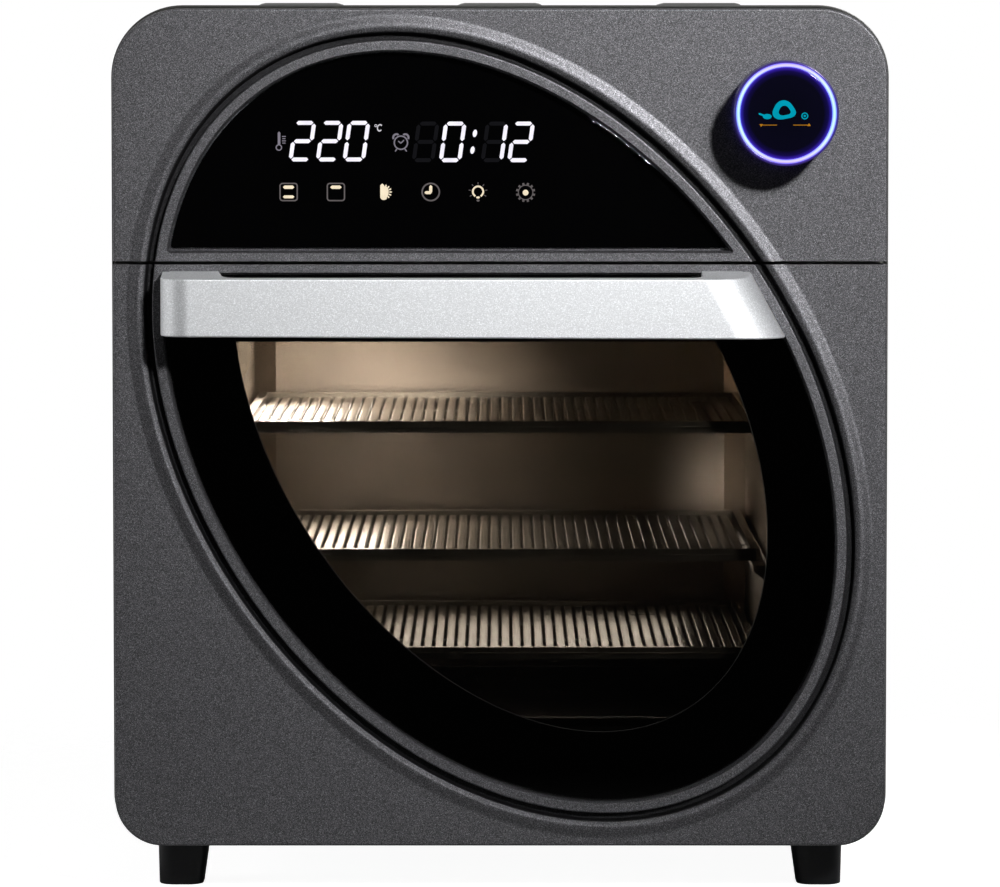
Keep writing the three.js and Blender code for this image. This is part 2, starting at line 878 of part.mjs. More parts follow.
function doorFrame() {
  const crossWall = block(
    -panelHalf + panelWall, panelHalf - panelWall, panelSkin, panelDepth,
    doorTop - panelWall, doorTop,
  );
  const rail = lipPlate.intersect(between(doorRailBottom, doorTop));
  const ledge = ledgePlate.intersect(between(doorLedgeBottom, doorTop));
  const bosses = [];
  for (const side of [-1, 1]) {
    for (const height of [panelBottom + panelBossInset * 2, doorTop - panelBossInset]) {
      bosses.push(rods.y(
        panelBossRadius, panelSkin / 2, innerPanelFront - fitGap,
        side * (panelHalf - panelBossInset + panelBossDrop), height, postSteps,
      ));
    }
  }
  const notches = [-1, 1].map((side) => {
    const middle = side * hingeOffset;
    const half = hingeArmWidth / 2 + hingeSideGap;
    return block(middle - half, middle + half, hingeAxisDepth - hingeBottomNotch,
      panelDepth + overrun, panelBottom - overrun, panelBottom + panelWall + fitGap);
  });
  return cut(
    join(moulding.intersect(below(doorTop)), crossWall, rail, ledge, ...bosses), ...notches,
  );
}

const doorGlassTop = doorRailBottom - fitGap;
const doorGlassOuter = () => frontSlab(ovalShape(0), glassSetback, glassBack)
  .intersect(below(doorGlassTop));

const innerPanelFront = panelDepth - sheet;
const mouthBottom = cavityFloorHeight + mouthSill;
const mouthTop = cavityCeilingHeight - mouthHead;

function doorInnerPanel() {
  const edge = panelHalf - panelWall - fitGap;
  const low = panelBottom + panelWall + fitGap;
  const high = doorTop - panelWall - fitGap;
  const radius = panelBottomRadius - panelWall - fitGap;
  const plate = frontSlab(
    roundedRect(-edge, edge, low, high, radius, mouthRadius), innerPanelFront - innerPanelFlange,
    panelDepth,
  );
  const hollow = frontSlab(
    roundedRect(-edge + sheet, edge - sheet, low + sheet, high - sheet, radius - sheet,
      mouthRadius - sheet),
    -overrun, innerPanelFront,
  );
  const opening = frontSlab(
    roundedRect(-cavityHalf, cavityHalf, mouthBottom, mouthTop, mouthRadius),
    0, panelDepth + overrun,
  );
  const notches = [-1, 1].map((side) => {
    const middle = side * hingeOffset;
    const half = hingePlateWidth / 2 + hingeSideGap;
    const slot = hingeArmWidth / 2 + hingeSideGap;
    return join(
      block(middle - half, middle + half, 0, innerPanelFront, low - overrun,
        low + hingePlateHeight / 2),
      block(middle - slot, middle + slot, 0, panelDepth + overrun, low - overrun,
        hingeAxisHeight + hingeSlotRise),
    );
  });
  const bossGaps = [-1, 1].map((side) => {
    const x = side * (panelHalf - panelBossInset + panelBossDrop);
    return join(...[panelBottom + panelBossInset * 2, doorTop - panelBossInset].map(
      (height) => rods.y(panelBossRadius + fitGap, 0, innerPanelFront, x, height, postSteps),
    ));
  });
  return cut(plate, hollow, opening, ...notches, ...bossGaps);
}

const doorGlassInner = () => frontSlab(
  roundedRect(-cavityHalf - innerGlassMargin, cavityHalf + innerGlassMargin,
    mouthBottom - innerGlassMargin, mouthTop + innerGlassMargin / 3, mouthRadius),
  innerPanelFront - fitGap - innerGlassThickness, innerPanelFront - fitGap,
);

function doorHandle() {
  const front = -handleReach;
  const back = glassSetback - fitGap;
  const barBack = front + handleBar;
  const outline = new THREE.Shape();
  outline.moveTo(handleLeftEnd, back);
  outline.lineTo(handleLeftEnd, front + handleLeftRadius);
  outline.quadraticCurveTo(handleLeftEnd, front, handleLeftEnd + handleLeftRadius, front);
  outline.lineTo(handleRightEnd, front);
  outline.lineTo(handleRightEnd, back);
  outline.lineTo(fingerGapRight, back);
  outline.lineTo(fingerGapRight, barBack + fingerGapRadius);
  outline.quadraticCurveTo(fingerGapRight, barBack, fingerGapRight - fingerGapRadius, barBack);
  outline.lineTo(fingerGapLeft + fingerGapRadius, barBack);
  outline.quadraticCurveTo(fingerGapLeft, barBack, fingerGapLeft, barBack + fingerGapRadius);
  outline.lineTo(fingerGapLeft, back);
  const bar = planSlab(outline, handleBottom, handleTopRear, smallSteps / 2);
  // The right end turns back along the slanted edge of the oval.
  const end = new THREE.Shape();
  const rightFront = ovalPoint(ovalTurnAt(handleMiddle), handleOverlap).x
    - handleRightLean;
  end.moveTo(rightFront, front - overrun);
  end.lineTo(bodyWidth, front - overrun);
  end.lineTo(bodyWidth, back + overrun);
  end.lineTo(rightFront + handleRightRadius, back + overrun);
  end.lineTo(rightFront + handleRightRadius, front + handleRightRadius);
  end.quadraticCurveTo(rightFront + handleRightRadius, front, rightFront, front);
  const corner = leanedSlab(end, handleBottom - overrun, handleTopRear + overrun);
  const slope = sideSlab(polygon([
    [front - overrun, handleTopFront],
    [0, handleTopRear],
    [0, handleTopRear + handleReach],
    [front - overrun, handleTopRear + handleReach],
  ]), -bodyWidth, bodyWidth);
  const footprint = join(
    frontSlab(ovalShape(handleOverlap), front - overrun, -handleStandOff),
    frontSlab(ovalShape(handleTuck), -handleStandOff - fitGap, back),
  );
  return cut(bar, slope, corner).intersect(footprint);
}

// Where the oval passes the handle's mid height on the right, and how far it leans there
function ovalTurnAt(height) {
  let best = 0;
  for (let i = 0; i < ovalSteps * ovalSteps; i++) {
    const turn = fullTurn * i / (ovalSteps * ovalSteps);
    const point = ovalPoint(turn, 0);
    const gap = Math.abs(point.y - height);
    if (point.x > 0 && gap < Math.abs(ovalPoint(best, 0).y - height)) best = turn;
  }
  return best;
}
const handleMiddle = (handleBottom + handleTopRear) / 2;

// A plan shape drawn out upwards along the lean of the oval's right edge
function leanedSlab(shape, low, high) {
  const top = ovalPoint(ovalTurnAt(handleTopRear), 0).x;
  const bottom = ovalPoint(ovalTurnAt(handleBottom), 0).x;
  const lean = (top - bottom) / (handleTopRear - handleBottom);
  const geometry = new THREE.ExtrudeGeometry(shape, {
    depth: high - low, curveSegments: smallSteps / 2, steps: 1, bevelEnabled: false,
  });
  geometry.translate(0, 0, low - handleMiddle);
  geometry.applyMatrix4(new THREE.Matrix4().makeShear(0, 0, 0, 0, lean, 0));
  geometry.translate(0, 0, handleMiddle);
  return solidOf(geometry);
}

// Hinges: a fixed arm and pin on the chassis, and knuckles in the door

const eye = (radius, left, right) => rods.x(
  radius, left, right, hingeAxisDepth, hingeAxisHeight,
);

// Radius of a faceted bore that clears a round pin by a gap
const boreFor = (radius, gap) => (radius + gap) / Math.cos(Math.PI / smallSteps);

function hingeBracket(side) {
  const middle = side * hingeOffset;
  const left = middle - hingeArmWidth / 2;
  const right = middle + hingeArmWidth / 2;
  const plateFront = frameSetback + sheet + fitGap;
  const low = hingeAxisHeight - hingeEyeRadius;
  const arm = block(left, right, hingeAxisDepth, plateFront + hingePlateThickness / 2,
    low, hingeAxisHeight + hingeEyeRadius);
  const plate = block(middle - hingePlateWidth / 2, middle + hingePlateWidth / 2, plateFront,
    plateFront + hingePlateThickness, low, low + hingePlateHeight);
  return cut(
    join(arm, plate, eye(hingeEyeRadius, left, right)),
    eye(boreFor(hingePinRadius, hingePressGap), left - overrun, right + overrun),
  );
}

const hingePin = (side) => eye(
  hingePinRadius, side * hingeOffset - hingePinLength / 2, side * hingeOffset + hingePinLength / 2,
);

function hingeKnuckle(side) {
  const middle = side * hingeOffset;
  const start = hingeArmWidth / 2 + hingeSideGap;
  const plateBack = innerPanelFront - fitGap;
  const low = hingeAxisHeight - hingeEyeRadius;
  const ears = [-1, 1].map((way) => {
    const left = middle + Math.min(way * start, way * (start + hingeKnuckleWidth));
    const right = left + hingeKnuckleWidth;
    return join(
      eye(hingeEyeRadius, left, right),
      block(left, right, hingeAxisDepth - hingeEyeRadius, plateBack, hingeAxisHeight,
        hingeAxisHeight + hingeSlotRise * 2),
    );
  });
  const plate = block(
    middle - hingePlateWidth / 2, middle + hingePlateWidth / 2, plateBack - hingePlateThickness,
    plateBack, hingeAxisHeight + hingeSlotRise, low + hingePlateHeight,
  );
  return cut(
    join(plate, ...ears),
    eye(boreFor(hingePinRadius, hingeRunGap), middle - hingePlateWidth,
      middle + hingePlateWidth),
  );
}

// A steel strike on the door meets a magnetic catch behind the front frame

const strikePlate = () => block(
  catchOffset - strikeWidth / 2, catchOffset + strikeWidth / 2,
  panelDepth + fitGap, panelDepth + fitGap + strikeThickness,
  doorTop - panelWall - catchDrop - strikeHeight, doorTop - panelWall - catchDrop,
);

const catchBottom = doorTop - panelWall - catchDrop - strikeHeight;
const magneticCatch = () => block(
  catchOffset - strikeWidth / 2, catchOffset + strikeWidth / 2,
  panelDepth + fitGap + strikeThickness + fitGap,
  panelDepth + fitGap + strikeThickness + fitGap + catchDepth,
  catchBottom, catchBottom + strikeHeight,
);

// Chassis

function frontFrame() {
  const back = frameSetback + sheet;
  const plate = frontSlab(housingOutline(sheet + fitGap), frameSetback, back);
  const mouth = frontSlab(
    roundedRect(-cavityHalf, cavityHalf, mouthBottom, mouthTop, mouthRadius),
    frameSetback - overrun, back + overrun,
  );
  const harness = block(-harnessSlotWidth / 2, harnessSlotWidth / 2, frameSetback - overrun,
    back + overrun, boardBottom, boardBottom + harnessSlotHeight);
  const catchHole = block(
    catchOffset - strikeWidth / 2 - fitGap, catchOffset + strikeWidth / 2 + fitGap,
    frameSetback - overrun, back + overrun, catchBottom - fitGap,
    catchBottom + strikeHeight + fitGap,
  );
  const slots = [-1, 1].map((side) => {
    const half = hingeArmWidth / 2 + hingeSideGap;
    return block(side * hingeOffset - half, side * hingeOffset + half, frameSetback - overrun,
      back + overrun, footHeight, hingeAxisHeight + hingeEyeRadius + hingeSideGap);
  });
  return cut(plate, mouth, harness, catchHole, ...slots);
}

function doorSeal() {
  const outer = sealInset + sealWidth;
  const ring = (margin, radius) => roundedRect(
    -cavityHalf - margin, cavityHalf + margin, mouthBottom - margin,
    mouthTop + Math.min(margin, outer) * sealHeadShare, radius,
  );
  return cut(
    frontSlab(ring(outer, sealRadius), panelDepth + fitGap, frameSetback - fitGap),
    frontSlab(ring(sealInset, sealRadius - sealWidth), panelDepth - overrun,
      frameSetback + overrun),
  );
}

// A pressed louvre: a low pad with sloped ends, open under its rear edge
function louvre(x, front) {
  const half = louvreWidth / 2;
  const base = housingTop - sheet;
  const pad = frontSlab(polygon([
    [x - half, base], [x + half, base], [x + half, housingTop],
    [x + half - louvreSlope, housingTop + louvreRise],
    [x - half + louvreSlope, housingTop + louvreRise], [x - half, housingTop],
  ]), front, front + louvreLength);
  const ramp = sideSlab(polygon([
    [front - overrun, housingTop],
    [front, housingTop],
    [front + louvreLength * louvreRampShare, housingTop + louvreRise],
    [front + louvreLength * louvreRampShare, housingTop + louvreRise + overrun],
    [front - overrun, housingTop + louvreRise + overrun],
  ]), x - louvreWidth, x + louvreWidth);
  return cut(pad, ramp);
}

function louvreMouthCut(x, front) {
  const half = louvreWidth / 2 - louvreSlope;
  return sideSlab(polygon([
    [front + louvreLength * louvreRampShare, housingTop + louvreRise - louvreMouth],
    [front + louvreLength + overrun, housingTop + louvreRise - louvreMouth],
    [front + louvreLength + overrun, housingTop],
    [front + louvreLength, housingTop - sheet - overrun],
    [front + louvreLength * louvreRampShare, housingTop - sheet - overrun],
  ]), x - half, x + half);
}

function housingShell() {
  const back = bodyDepth - fitGap;
  const wrap = cut(
    frontSlab(housingOutline(0), housingSetback, back),
    frontSlab(housingOutline(sheet), housingSetback - overrun, back + overrun),
    block(-halfWidth + bottomRadius + housingFlange, halfWidth - bottomRadius - housingFlange,
      housingSetback - overrun, back + overrun, footHeight - overrun,
      footHeight + sheet + fitGap),
  );
  const places = [];
  for (const x of [-louvreOffset, 0, louvreOffset]) {
    for (let row = 0; row < louvreRows; row++) places.push([x, louvreStart + row * louvrePitch]);
  }
  return cut(
    join(wrap, ...places.map(([x, front]) => louvre(x, front))),
    ...places.map(([x, front]) => louvreMouthCut(x, front)),
  );
}

function basePlate() {
  const half = halfWidth - bottomRadius;
  const low = footHeight + sheet + fitGap;
  const back = bodyDepth - sheet - rearFlange - fitGap * 2;
  const plate = join(
    block(-half, half, cavityFront, back, low, low + sheet),
    ...[-1, 1].map((side) => block(
      Math.min(side * half, side * (half - sheet)), Math.max(side * half, side * (half - sheet)),
      cavityFront + hingePlateThickness + fitGap, back, low, low + rearFlange,
    )),
  );
  const slots = [];
  for (let row = 0; row < baseVentRows; row++) {
    const front = fanCentreDepth + (row - (baseVentRows - 1) / 2) * louvrePitch;
    slots.push(block(-baseVentLength / 2, baseVentLength / 2, front - ventHeight / 2,
      front + ventHeight / 2, low - overrun, low + sheet + overrun));
  }
  return cut(plate, ...slots);
}

function rearCover() {
  const inset = sheet + fitGap;
  const front = bodyDepth - sheet - rearFlange;
  const pan = cut(
    frontSlab(housingOutline(inset), front, bodyDepth),
    frontSlab(housingOutline(inset + sheet), front - overrun, bodyDepth - sheet),
  );
  const slots = [];
  for (const side of [-1, 1]) {
    for (let row = 0; row < ventRows; row++) {
      const high = ventTop - row * ventPitch;
      const near = side * ventGap / 2;
      const far = side * (ventGap / 2 + ventWidth);
      const left = Math.min(near, far);
      const right = Math.max(near, far);
      const point = ventHeight / 2;
      slots.push(frontSlab(polygon([
        [left, high - point], [left + point, high - ventHeight], [right - point, high - ventHeight],
        [right, high - point], [right - point, high], [left + point, high],
      ]), bodyDepth - sheet - overrun, bodyDepth + overrun));
    }
  }
  return cut(pan, ...slots, rods.y(
    glandRadius + fitGap, bodyDepth - sheet - overrun, bodyDepth + overrun, glandOffset,
    glandHeight, roundSteps,
  ));
}

function cableGland() {
  return turnedBack([
    [glandBoreRadius, bodyDepth - sheet - glandInner],
    [glandBoreRadius, bodyDepth + fitGap + glandFlange],
    [glandFlangeRadius - glandEdge, bodyDepth + fitGap + glandFlange],
    [glandFlangeRadius, bodyDepth + fitGap],
    [glandRadius, bodyDepth + fitGap],
    [glandRadius, bodyDepth - sheet - glandInner],
    [glandBoreRadius, bodyDepth - sheet - glandInner],
  ], glandOffset, glandHeight, smallSteps);
}

// A foot: upright outside, leaning in on its inner side, with a shallow recess in its sole
function foot(side, front) {
  const outer = side * footOuterOffset;
  const ring = (width, height, draft) => {
    const inner = outer - side * width;
    const plan = roundedRect(Math.min(outer, inner), Math.max(outer, inner), front + draft,
      front + footLength - draft, footCorner);
    return plan.extractPoints(footSteps).shape.map(
      (point) => new THREE.Vector3(point.x, point.y, height),
    );
  };
  const body = loft([ring(footWidth - footTaper, 0, footTaper / 2),
    ring(footWidth, footHeight - fitGap, 0)]);
  const middle = outer - side * (footWidth - footTaper) / 2;
  const recess = rods.z((footWidth - footTaper) / 2 - footPadMargin, -overrun, footPadRecess,
    middle, front + footLength / 2);
  return cut(body, recess);
}

// Cooking chamber

const wallLow = cavityFloorHeight;
const wallHigh = cavityCeilingHeight;
const runnerTops = [...Object.values(rackLevels).map((level) => level - fitGap),
  trayRimHeight - traySheet - fitGap].sort((a, b) => a - b);

function cavitySideWall(side) {
  const inner = side * cavityHalf;
  const outer = side * (cavityHalf + cavitySheet);
  const ridge = side * (cavityHalf - runnerReach);
  const points = [[outer, wallLow], [outer, wallHigh], [inner, wallHigh]];
  for (const top of [...runnerTops].reverse()) {
    points.push([inner, top], [ridge, top], [ridge, top - runnerLip],
      [inner, top - runnerLip - runnerFlare]);
  }
  points.push([inner, wallLow]);
  return frontSlab(polygon(points), cavityFront, cornerStart - fitGap);
}

function cavityLeftWall() {
  return cut(cavitySideWall(-1), rods.x(
    lampHoleRadius, -cavityHalf - cavitySheet - overrun, -cavityHalf + overrun, lampDepth,
    lampHeight, smallSteps,
  ));
}

function cavityRearWall() {
  const outer = cavitySheet;
  const cutStart = cavityHalf - cornerCutWidth;
  const plan = polygon([
    [-cavityHalf, cornerStart], [-cutStart, cavityBack], [cutStart, cavityBack],
    [cavityHalf, cornerStart], [cavityHalf + outer, cornerStart],
    [cavityHalf + outer, cornerStart + outer], [cutStart + outer, cavityBack + outer],
    [-cutStart - outer, cavityBack + outer], [-cavityHalf - outer, cornerStart + outer],
    [-cavityHalf - outer, cornerStart],
  ]);
  const wall = planSlab(plan, wallLow, wallHigh);
  const tails = [-1, 1].map((side) => rods.y(
    elementRadius + elementHoleGap, cavityBack - overrun, cavityBack + cavitySheet + overrun,
    side * lowerElementSpread / 2, lowerElementHeight, smallSteps,
  ));
  const probeHole = rods.y(probeRadius + fitGap, cavityBack - overrun,
    cavityBack + cavitySheet + overrun, probeOffset, cavityCeilingHeight - probeDrop);
  return cut(wall, ...tails, probeHole);
}

const cavityPlate = (low) => block(
  -cavityHalf - cavitySheet - cavityFlange, cavityHalf + cavitySheet + cavityFlange, cavityFront,
  cavityBack + cavitySheet + cavityFlange, low, low + cavitySheet,
);

const cavityFloor = () => cavityPlate(cavityFloorHeight - fitGap - cavitySheet);
const cavityCeiling = () => cut(
  cavityPlate(cavityCeilingHeight + fitGap),
  rods.z(ceilingOpeningRadius, cavityCeilingHeight - overrun, ceilingTop + overrun, 0,
    fanCentreDepth, roundSteps),
);

// Racks: a flat frame with wires from front to back, and a pan below them

function planRect(inset) {
  return roundedRect(-rackHalf + inset, rackHalf - inset, rackFront + inset, rackBack - inset,
    Math.max(rackCornerRadius - inset, rackCornerRadius - rackFrameWidth));
}

function rack(level) {
  const top = level + rackHeight;
  const frame = cut(
    planSlab(planRect(0), level, top),
    planSlab(planRect(rackFrameWidth), level - overrun, top + overrun, slotSteps),
  );
  const inside = rackHalf - rackFrameWidth;
  const wireCount = Math.floor(2 * inside / wirePitch);
  const wireTop = top - wireDrop;
  const wires = [];
  for (let i = 0; i < wireCount; i++) {
    const x = (i - (wireCount - 1) / 2) * wirePitch;
    wires.push(rods.y(wireRadius, rackFront + rackFrameWidth / 2, rackBack - rackFrameWidth / 2, x,
      wireTop - wireRadius, wireSides));
  }
  const ties = [1, 2].map((third) => {
    const middle = rackFront + (rackBack - rackFront) * third / 3;
    return block(-inside - rackFrameWidth / 2, inside + rackFrameWidth / 2,
      middle - tieWidth / 2, middle + tieWidth / 2, level, wireTop - wireRadius * 2 - tieGap);
  });
  return join(frame, ...wires, ...ties);
}

function dripTray() {
  const rim = roundedRect(-rackHalf, rackHalf, rackFront, rackBack, trayRadius);
  const outer = (inset, height) => roundedRect(
    -rackHalf + runnerReach + inset, rackHalf - runnerReach - inset, rackFront + trayRimWidth + inset,
    rackBack - trayRimWidth - inset, trayRadius,
  ).extractPoints(cornerSteps).shape.map(
    (point) => new THREE.Vector3(point.x, point.y, height),
  );
  const low = trayRimHeight - trayDepth;
  const pan = loft([outer(trayTaper, low), outer(0, trayRimHeight)]);
  const hollow = loft([outer(trayTaper + traySheet, low + traySheet),
    outer(traySheet, trayRimHeight), outer(traySheet, trayRimHeight + overrun)]);
  return cut(join(pan, planSlab(rim, trayRimHeight - traySheet, trayRimHeight)), hollow);
}

// Hot air fan, its housing and guard

const guardLow = cavityCeilingHeight - guardThickness;

// A thin plate with rings of curved slots, held under the ceiling
function fanGuard() {
  const slots = [];
  for (let ring = 0; ring < guardRings; ring++) {
    const inner = guardHubRadius + ring * guardRingWidth;
    const count = guardFirstSlots + ring * guardMoreSlots;
    for (let i = 0; i < count; i++) {
      const start = fullTurn * i / count;
      const end = start + fullTurn / count * guardSlotShare;
      const slot = new THREE.Shape();
      slot.absarc(0, fanCentreDepth, inner + guardSlotWidth, start, end, false);
      slot.absarc(0, fanCentreDepth, inner, end, start, true);
      slots.push(planSlab(slot, guardLow - overrun, cavityCeilingHeight + overrun, guardSteps));
    }
  }
  return cut(rods.z(guardRadius, guardLow, guardLow + guardThickness, 0, fanCentreDepth,
    roundSteps), ...slots);
}

function fanHousing() {
  const inner = domeRadius - domeSheet;
  const shell = turnedUp([
    [domeRadius + domeFlange, domeLow],
    [domeRadius + domeFlange, domeLow + domeSheet],
    [domeRadius, domeLow + domeSheet],
    [domeRadius, domeHigh - domeShoulder],
    [domeRadius - domeShoulder, domeHigh],
    [hubRadius, domeHigh],
    [hubRadius, domeHigh - domeSheet],
    [inner - domeShoulder, domeHigh - domeSheet],
    [inner, domeHigh - domeShoulder],
    [inner, domeLow],
    [domeRadius + domeFlange, domeLow],
  ], 0, fanCentreDepth);
  const tails = upperElementEnds().map(({ x, y }) => rods.z(
    elementRadius + elementHoleGap, domeHigh - domeSheet - overrun, domeHigh + overrun, x, y,
  ));
  return cut(shell, ...tails);
}

function fanWheel(radius, height, low, disc) {
  const hub = rods.z(hubRadius, low, low + height + bladeThickness, 0, fanCentreDepth);
  const plate = rods.z(radius, disc, disc + bladeThickness, 0, fanCentreDepth, roundSteps);
  const blades = [];
  for (let i = 0; i < bladeCount; i++) {
    const geometry = new THREE.BoxGeometry(radius - hubRadius, bladeThickness, height);
    geometry.translate((radius + hubRadius) / 2 - bladeThickness, 0, low + height / 2);
    geometry.translate(-hubRadius, 0, 0);
    geometry.rotateZ(bladeLean);
    geometry.translate(hubRadius, 0, 0);
    geometry.rotateZ(fullTurn * i / bladeCount);
    geometry.translate(0, fanCentreDepth, 0);
    blades.push(solidOf(geometry));
  }
  return cut(join(hub, plate, ...blades), rods.z(
    boreFor(shaftRadius, shaftPressGap), low - overrun, low + height + overrun * 2, 0,
    fanCentreDepth,
  ));
}

const fanBlade = () => fanWheel(bladeRadius, bladeHeight, bladeTop - bladeHeight, bladeTop
  - bladeThickness / 2);
const coolingFan = () => fanWheel(coolerRadius, coolerHeight, coolerBottom, coolerBottom
  - bladeThickness / 2);
const motorShaft = () => rods.z(shaftRadius, shaftBottom, shaftTop, 0, fanCentreDepth);

function motorBracket() {
  const half = bracketSpan / 2;
  const bridgeTop = motorBottom - fitGap;
  const bridge = join(
    block(-half, half, fanCentreDepth - bracketWidth / 2, fanCentreDepth + bracketWidth / 2,
      bridgeTop - bracketSheet, bridgeTop),
    ...[-1, 1].map((side) => join(
      block(Math.min(side * half, side * (half - bracketSheet)),
        Math.max(side * half, side * (half - bracketSheet)), fanCentreDepth - bracketWidth / 2,
        fanCentreDepth + bracketWidth / 2, domeHigh + fitGap, bridgeTop),
      block(Math.min(side * half, side * (half - bracketFoot)),
        Math.max(side * half, side * (half - bracketFoot)), fanCentreDepth - bracketWidth / 2,
        fanCentreDepth + bracketWidth / 2, domeHigh + fitGap, domeHigh + fitGap + bracketSheet),
    )),
  );
  return cut(bridge, rods.z(hubRadius, bridgeTop - bracketSheet - overrun, bridgeTop + overrun, 0,
    fanCentreDepth));
}

function fanMotor() {
  const high = motorBottom + motorHeight;
  return turnedUp([
    [boreFor(shaftRadius, shaftRunGap), motorBottom],
    [motorRadius, motorBottom],
    [motorRadius, high - motorCapHeight],
    [motorRadius / 2, high],
    [0, high],
    [0, shaftTop + shaftEndGap],
    [boreFor(shaftRadius, shaftRunGap), shaftTop + shaftEndGap],
    [boreFor(shaftRadius, shaftRunGap), motorBottom],
  ], 0, fanCentreDepth, smallSteps);
}

// Heating elements

// Turns, from the front of the ring, at which its two ends rise
const upperElementTurns = [
  -quarterTurn + upperElementEndTurn, -quarterTurn + fullTurn - upperElementEndTurn,
];

const ringPoint = (radius, turn, height) => new THREE.Vector3(
  radius * Math.cos(turn), fanCentreDepth + radius * Math.sin(turn), height,
);

function upperElementEnds() {
  return upperElementTurns.map((turn) => ringPoint(upperElementEndRadius, turn, 0));
}

// A rod bent into a lobed ring, whose ends rise side by side through the fan housing
function upperElement() {
  const [first, last] = upperElementTurns;
  const middle = (upperElementInner + upperElementOuter) / 2;
  const swing = (upperElementOuter - upperElementInner) / 2;
  const rise = [upperElementRise + elementTail, upperElementRise, upperElementRise * 2 / 3,
    upperElementRise / 3];
  const ends = (turn) => rise.map(
    (up) => ringPoint(upperElementEndRadius, turn, upperElementHeight + up),
  );
  const points = ends(first);
  const stops = upperElementLobes * elementSides;
  for (let i = 1; i < stops; i++) {
    const turn = first + (last - first) * i / stops;
    const radius = middle + swing * Math.cos(fullTurn * upperElementLobes * i / stops);
    points.push(ringPoint(radius, turn, upperElementHeight));
  }
  points.push(...ends(last).reverse());
  return tube(new THREE.CatmullRomCurve3(points), elementRadius, elementSides,
    upperElementSteps);
}

// A looped rod above the chamber floor, with both ends through the rear wall
function lowerElement() {
  const near = lowerElementSpread / 2;
  const bend = lowerElementRadius;
  const back = cavityBack + cavitySheet + elementTail;
  const turnBack = cornerStart - bend * 2;
  const corners = [
    [-near, back], [-near, turnBack], [-lowerElementReach, turnBack],
    [-lowerElementReach, lowerElementFront], [lowerElementReach, lowerElementFront],
    [lowerElementReach, turnBack], [near, turnBack], [near, back],
  ].map(([x, y]) => new THREE.Vector3(x, y, lowerElementHeight));
  const points = [corners[0]];
  for (let i = 1; i < corners.length - 1; i++) {
    const before = corners[i].clone().lerp(corners[i - 1],
      bend / corners[i].distanceTo(corners[i - 1]));
    const after = corners[i].clone().lerp(corners[i + 1],
      bend / corners[i].distanceTo(corners[i + 1]));
    const arc = new THREE.QuadraticBezierCurve3(before, corners[i], after);
    points.push(...arc.getPoints(lowerElementBendSteps));
  }
  points.push(corners[corners.length - 1]);
  return sweepThrough(points, elementRadius, elementSides);
}

// A round section carried through points, square to the path at each
function sweepThrough(points, radius, sides) {
  const up = new THREE.Vector3(0, 0, 1);
  const rings = points.map((point, i) => {
    const before = points[Math.max(i - 1, 0)];
    const after = points[Math.min(i + 1, points.length - 1)];
    const ahead = after.clone().sub(before).normalize();
    const across = new THREE.Vector3().crossVectors(ahead, up).normalize();
    const ring = [];
    for (let k = 0; k < sides; k++) {
      const turn = fullTurn * k / sides;
      ring.push(point.clone().addScaledVector(across, radius * Math.cos(turn))
        .addScaledVector(up, radius * Math.sin(turn)));
    }
    return ring;
  });
  return loft(rings);
}

// Lamp, probe and cut-out

const lampFace = -cavityHalf - cavitySheet - fitGap;

const lampLens = () => turnedAcross([
  [0, -cavityHalf + lampDome],
  [lampHoleRadius / 2, -cavityHalf + lampDome * lensSwellShare],
  [lampHoleRadius - fitGap * 2, -cavityHalf],
  [lampHoleRadius - fitGap * 2, lampFace],
  [lampFlangeRadius, lampFace],
  [lampFlangeRadius, lampFace - lampGlass],
  [lampHoleRadius - fitGap * 2 - lampGlass, lampFace - lampGlass],
  [lampHoleRadius / 2, -cavityHalf + lampDome * lensSwellShare - lampGlass],
  [0, -cavityHalf + lampDome - lampGlass],
], lampDepth, lampHeight, smallSteps);

const lampHolderFace = lampFace - lampGlass - fitGap;
const lampHolder = () => turnedAcross([
  [lampHolderRadius, lampHolderFace],
  [lampHolderRadius, lampHolderFace - lampHolderDepth],
  [0, lampHolderFace - lampHolderDepth],
  [0, lampHolderFace - lampHolderDepth + lampHolderWall],
  [lampHolderRadius - lampHolderWall, lampHolderFace - lampHolderDepth + lampHolderWall],
  [lampHolderRadius - lampHolderWall, lampHolderFace],
  [lampHolderRadius, lampHolderFace],
], lampDepth, lampHeight, smallSteps);

const bulbBase = lampHolderFace - lampHolderDepth + lampHolderWall + fitGap;
const lampBulb = () => turnedAcross([
  [0, bulbBase],
  [lampBaseRadius, bulbBase],
  [lampBaseRadius, bulbBase + lampBulbLength / 3],
  [lampBulbRadius, bulbBase + lampBulbLength / 2],
  [lampBulbRadius, bulbBase + lampBulbLength * 3 / 4],
  [lampBaseRadius, bulbBase + lampBulbLength],
  [0, bulbBase + lampBulbLength + elementRadius / 2],
], lampDepth, lampHeight, smallSteps);

function temperatureProbe() {
  const back = cavityBack + cavitySheet + fitGap;
  const height = cavityCeilingHeight - probeDrop;
  return join(
    rods.y(probeRadius, cavityBack - probeLength, back + probeFlangeThickness / 2, probeOffset,
      height),
    rods.y(probeFlangeRadius, back, back + probeFlangeThickness, probeOffset, height),
  );
}

const thermalCutout = () => rods.z(
  cutoutRadius, ceilingTop + fitGap, ceilingTop + fitGap + cutoutHeight, cavityHalf - cutoutInset,
  cavityBack - cutoutInset,
);

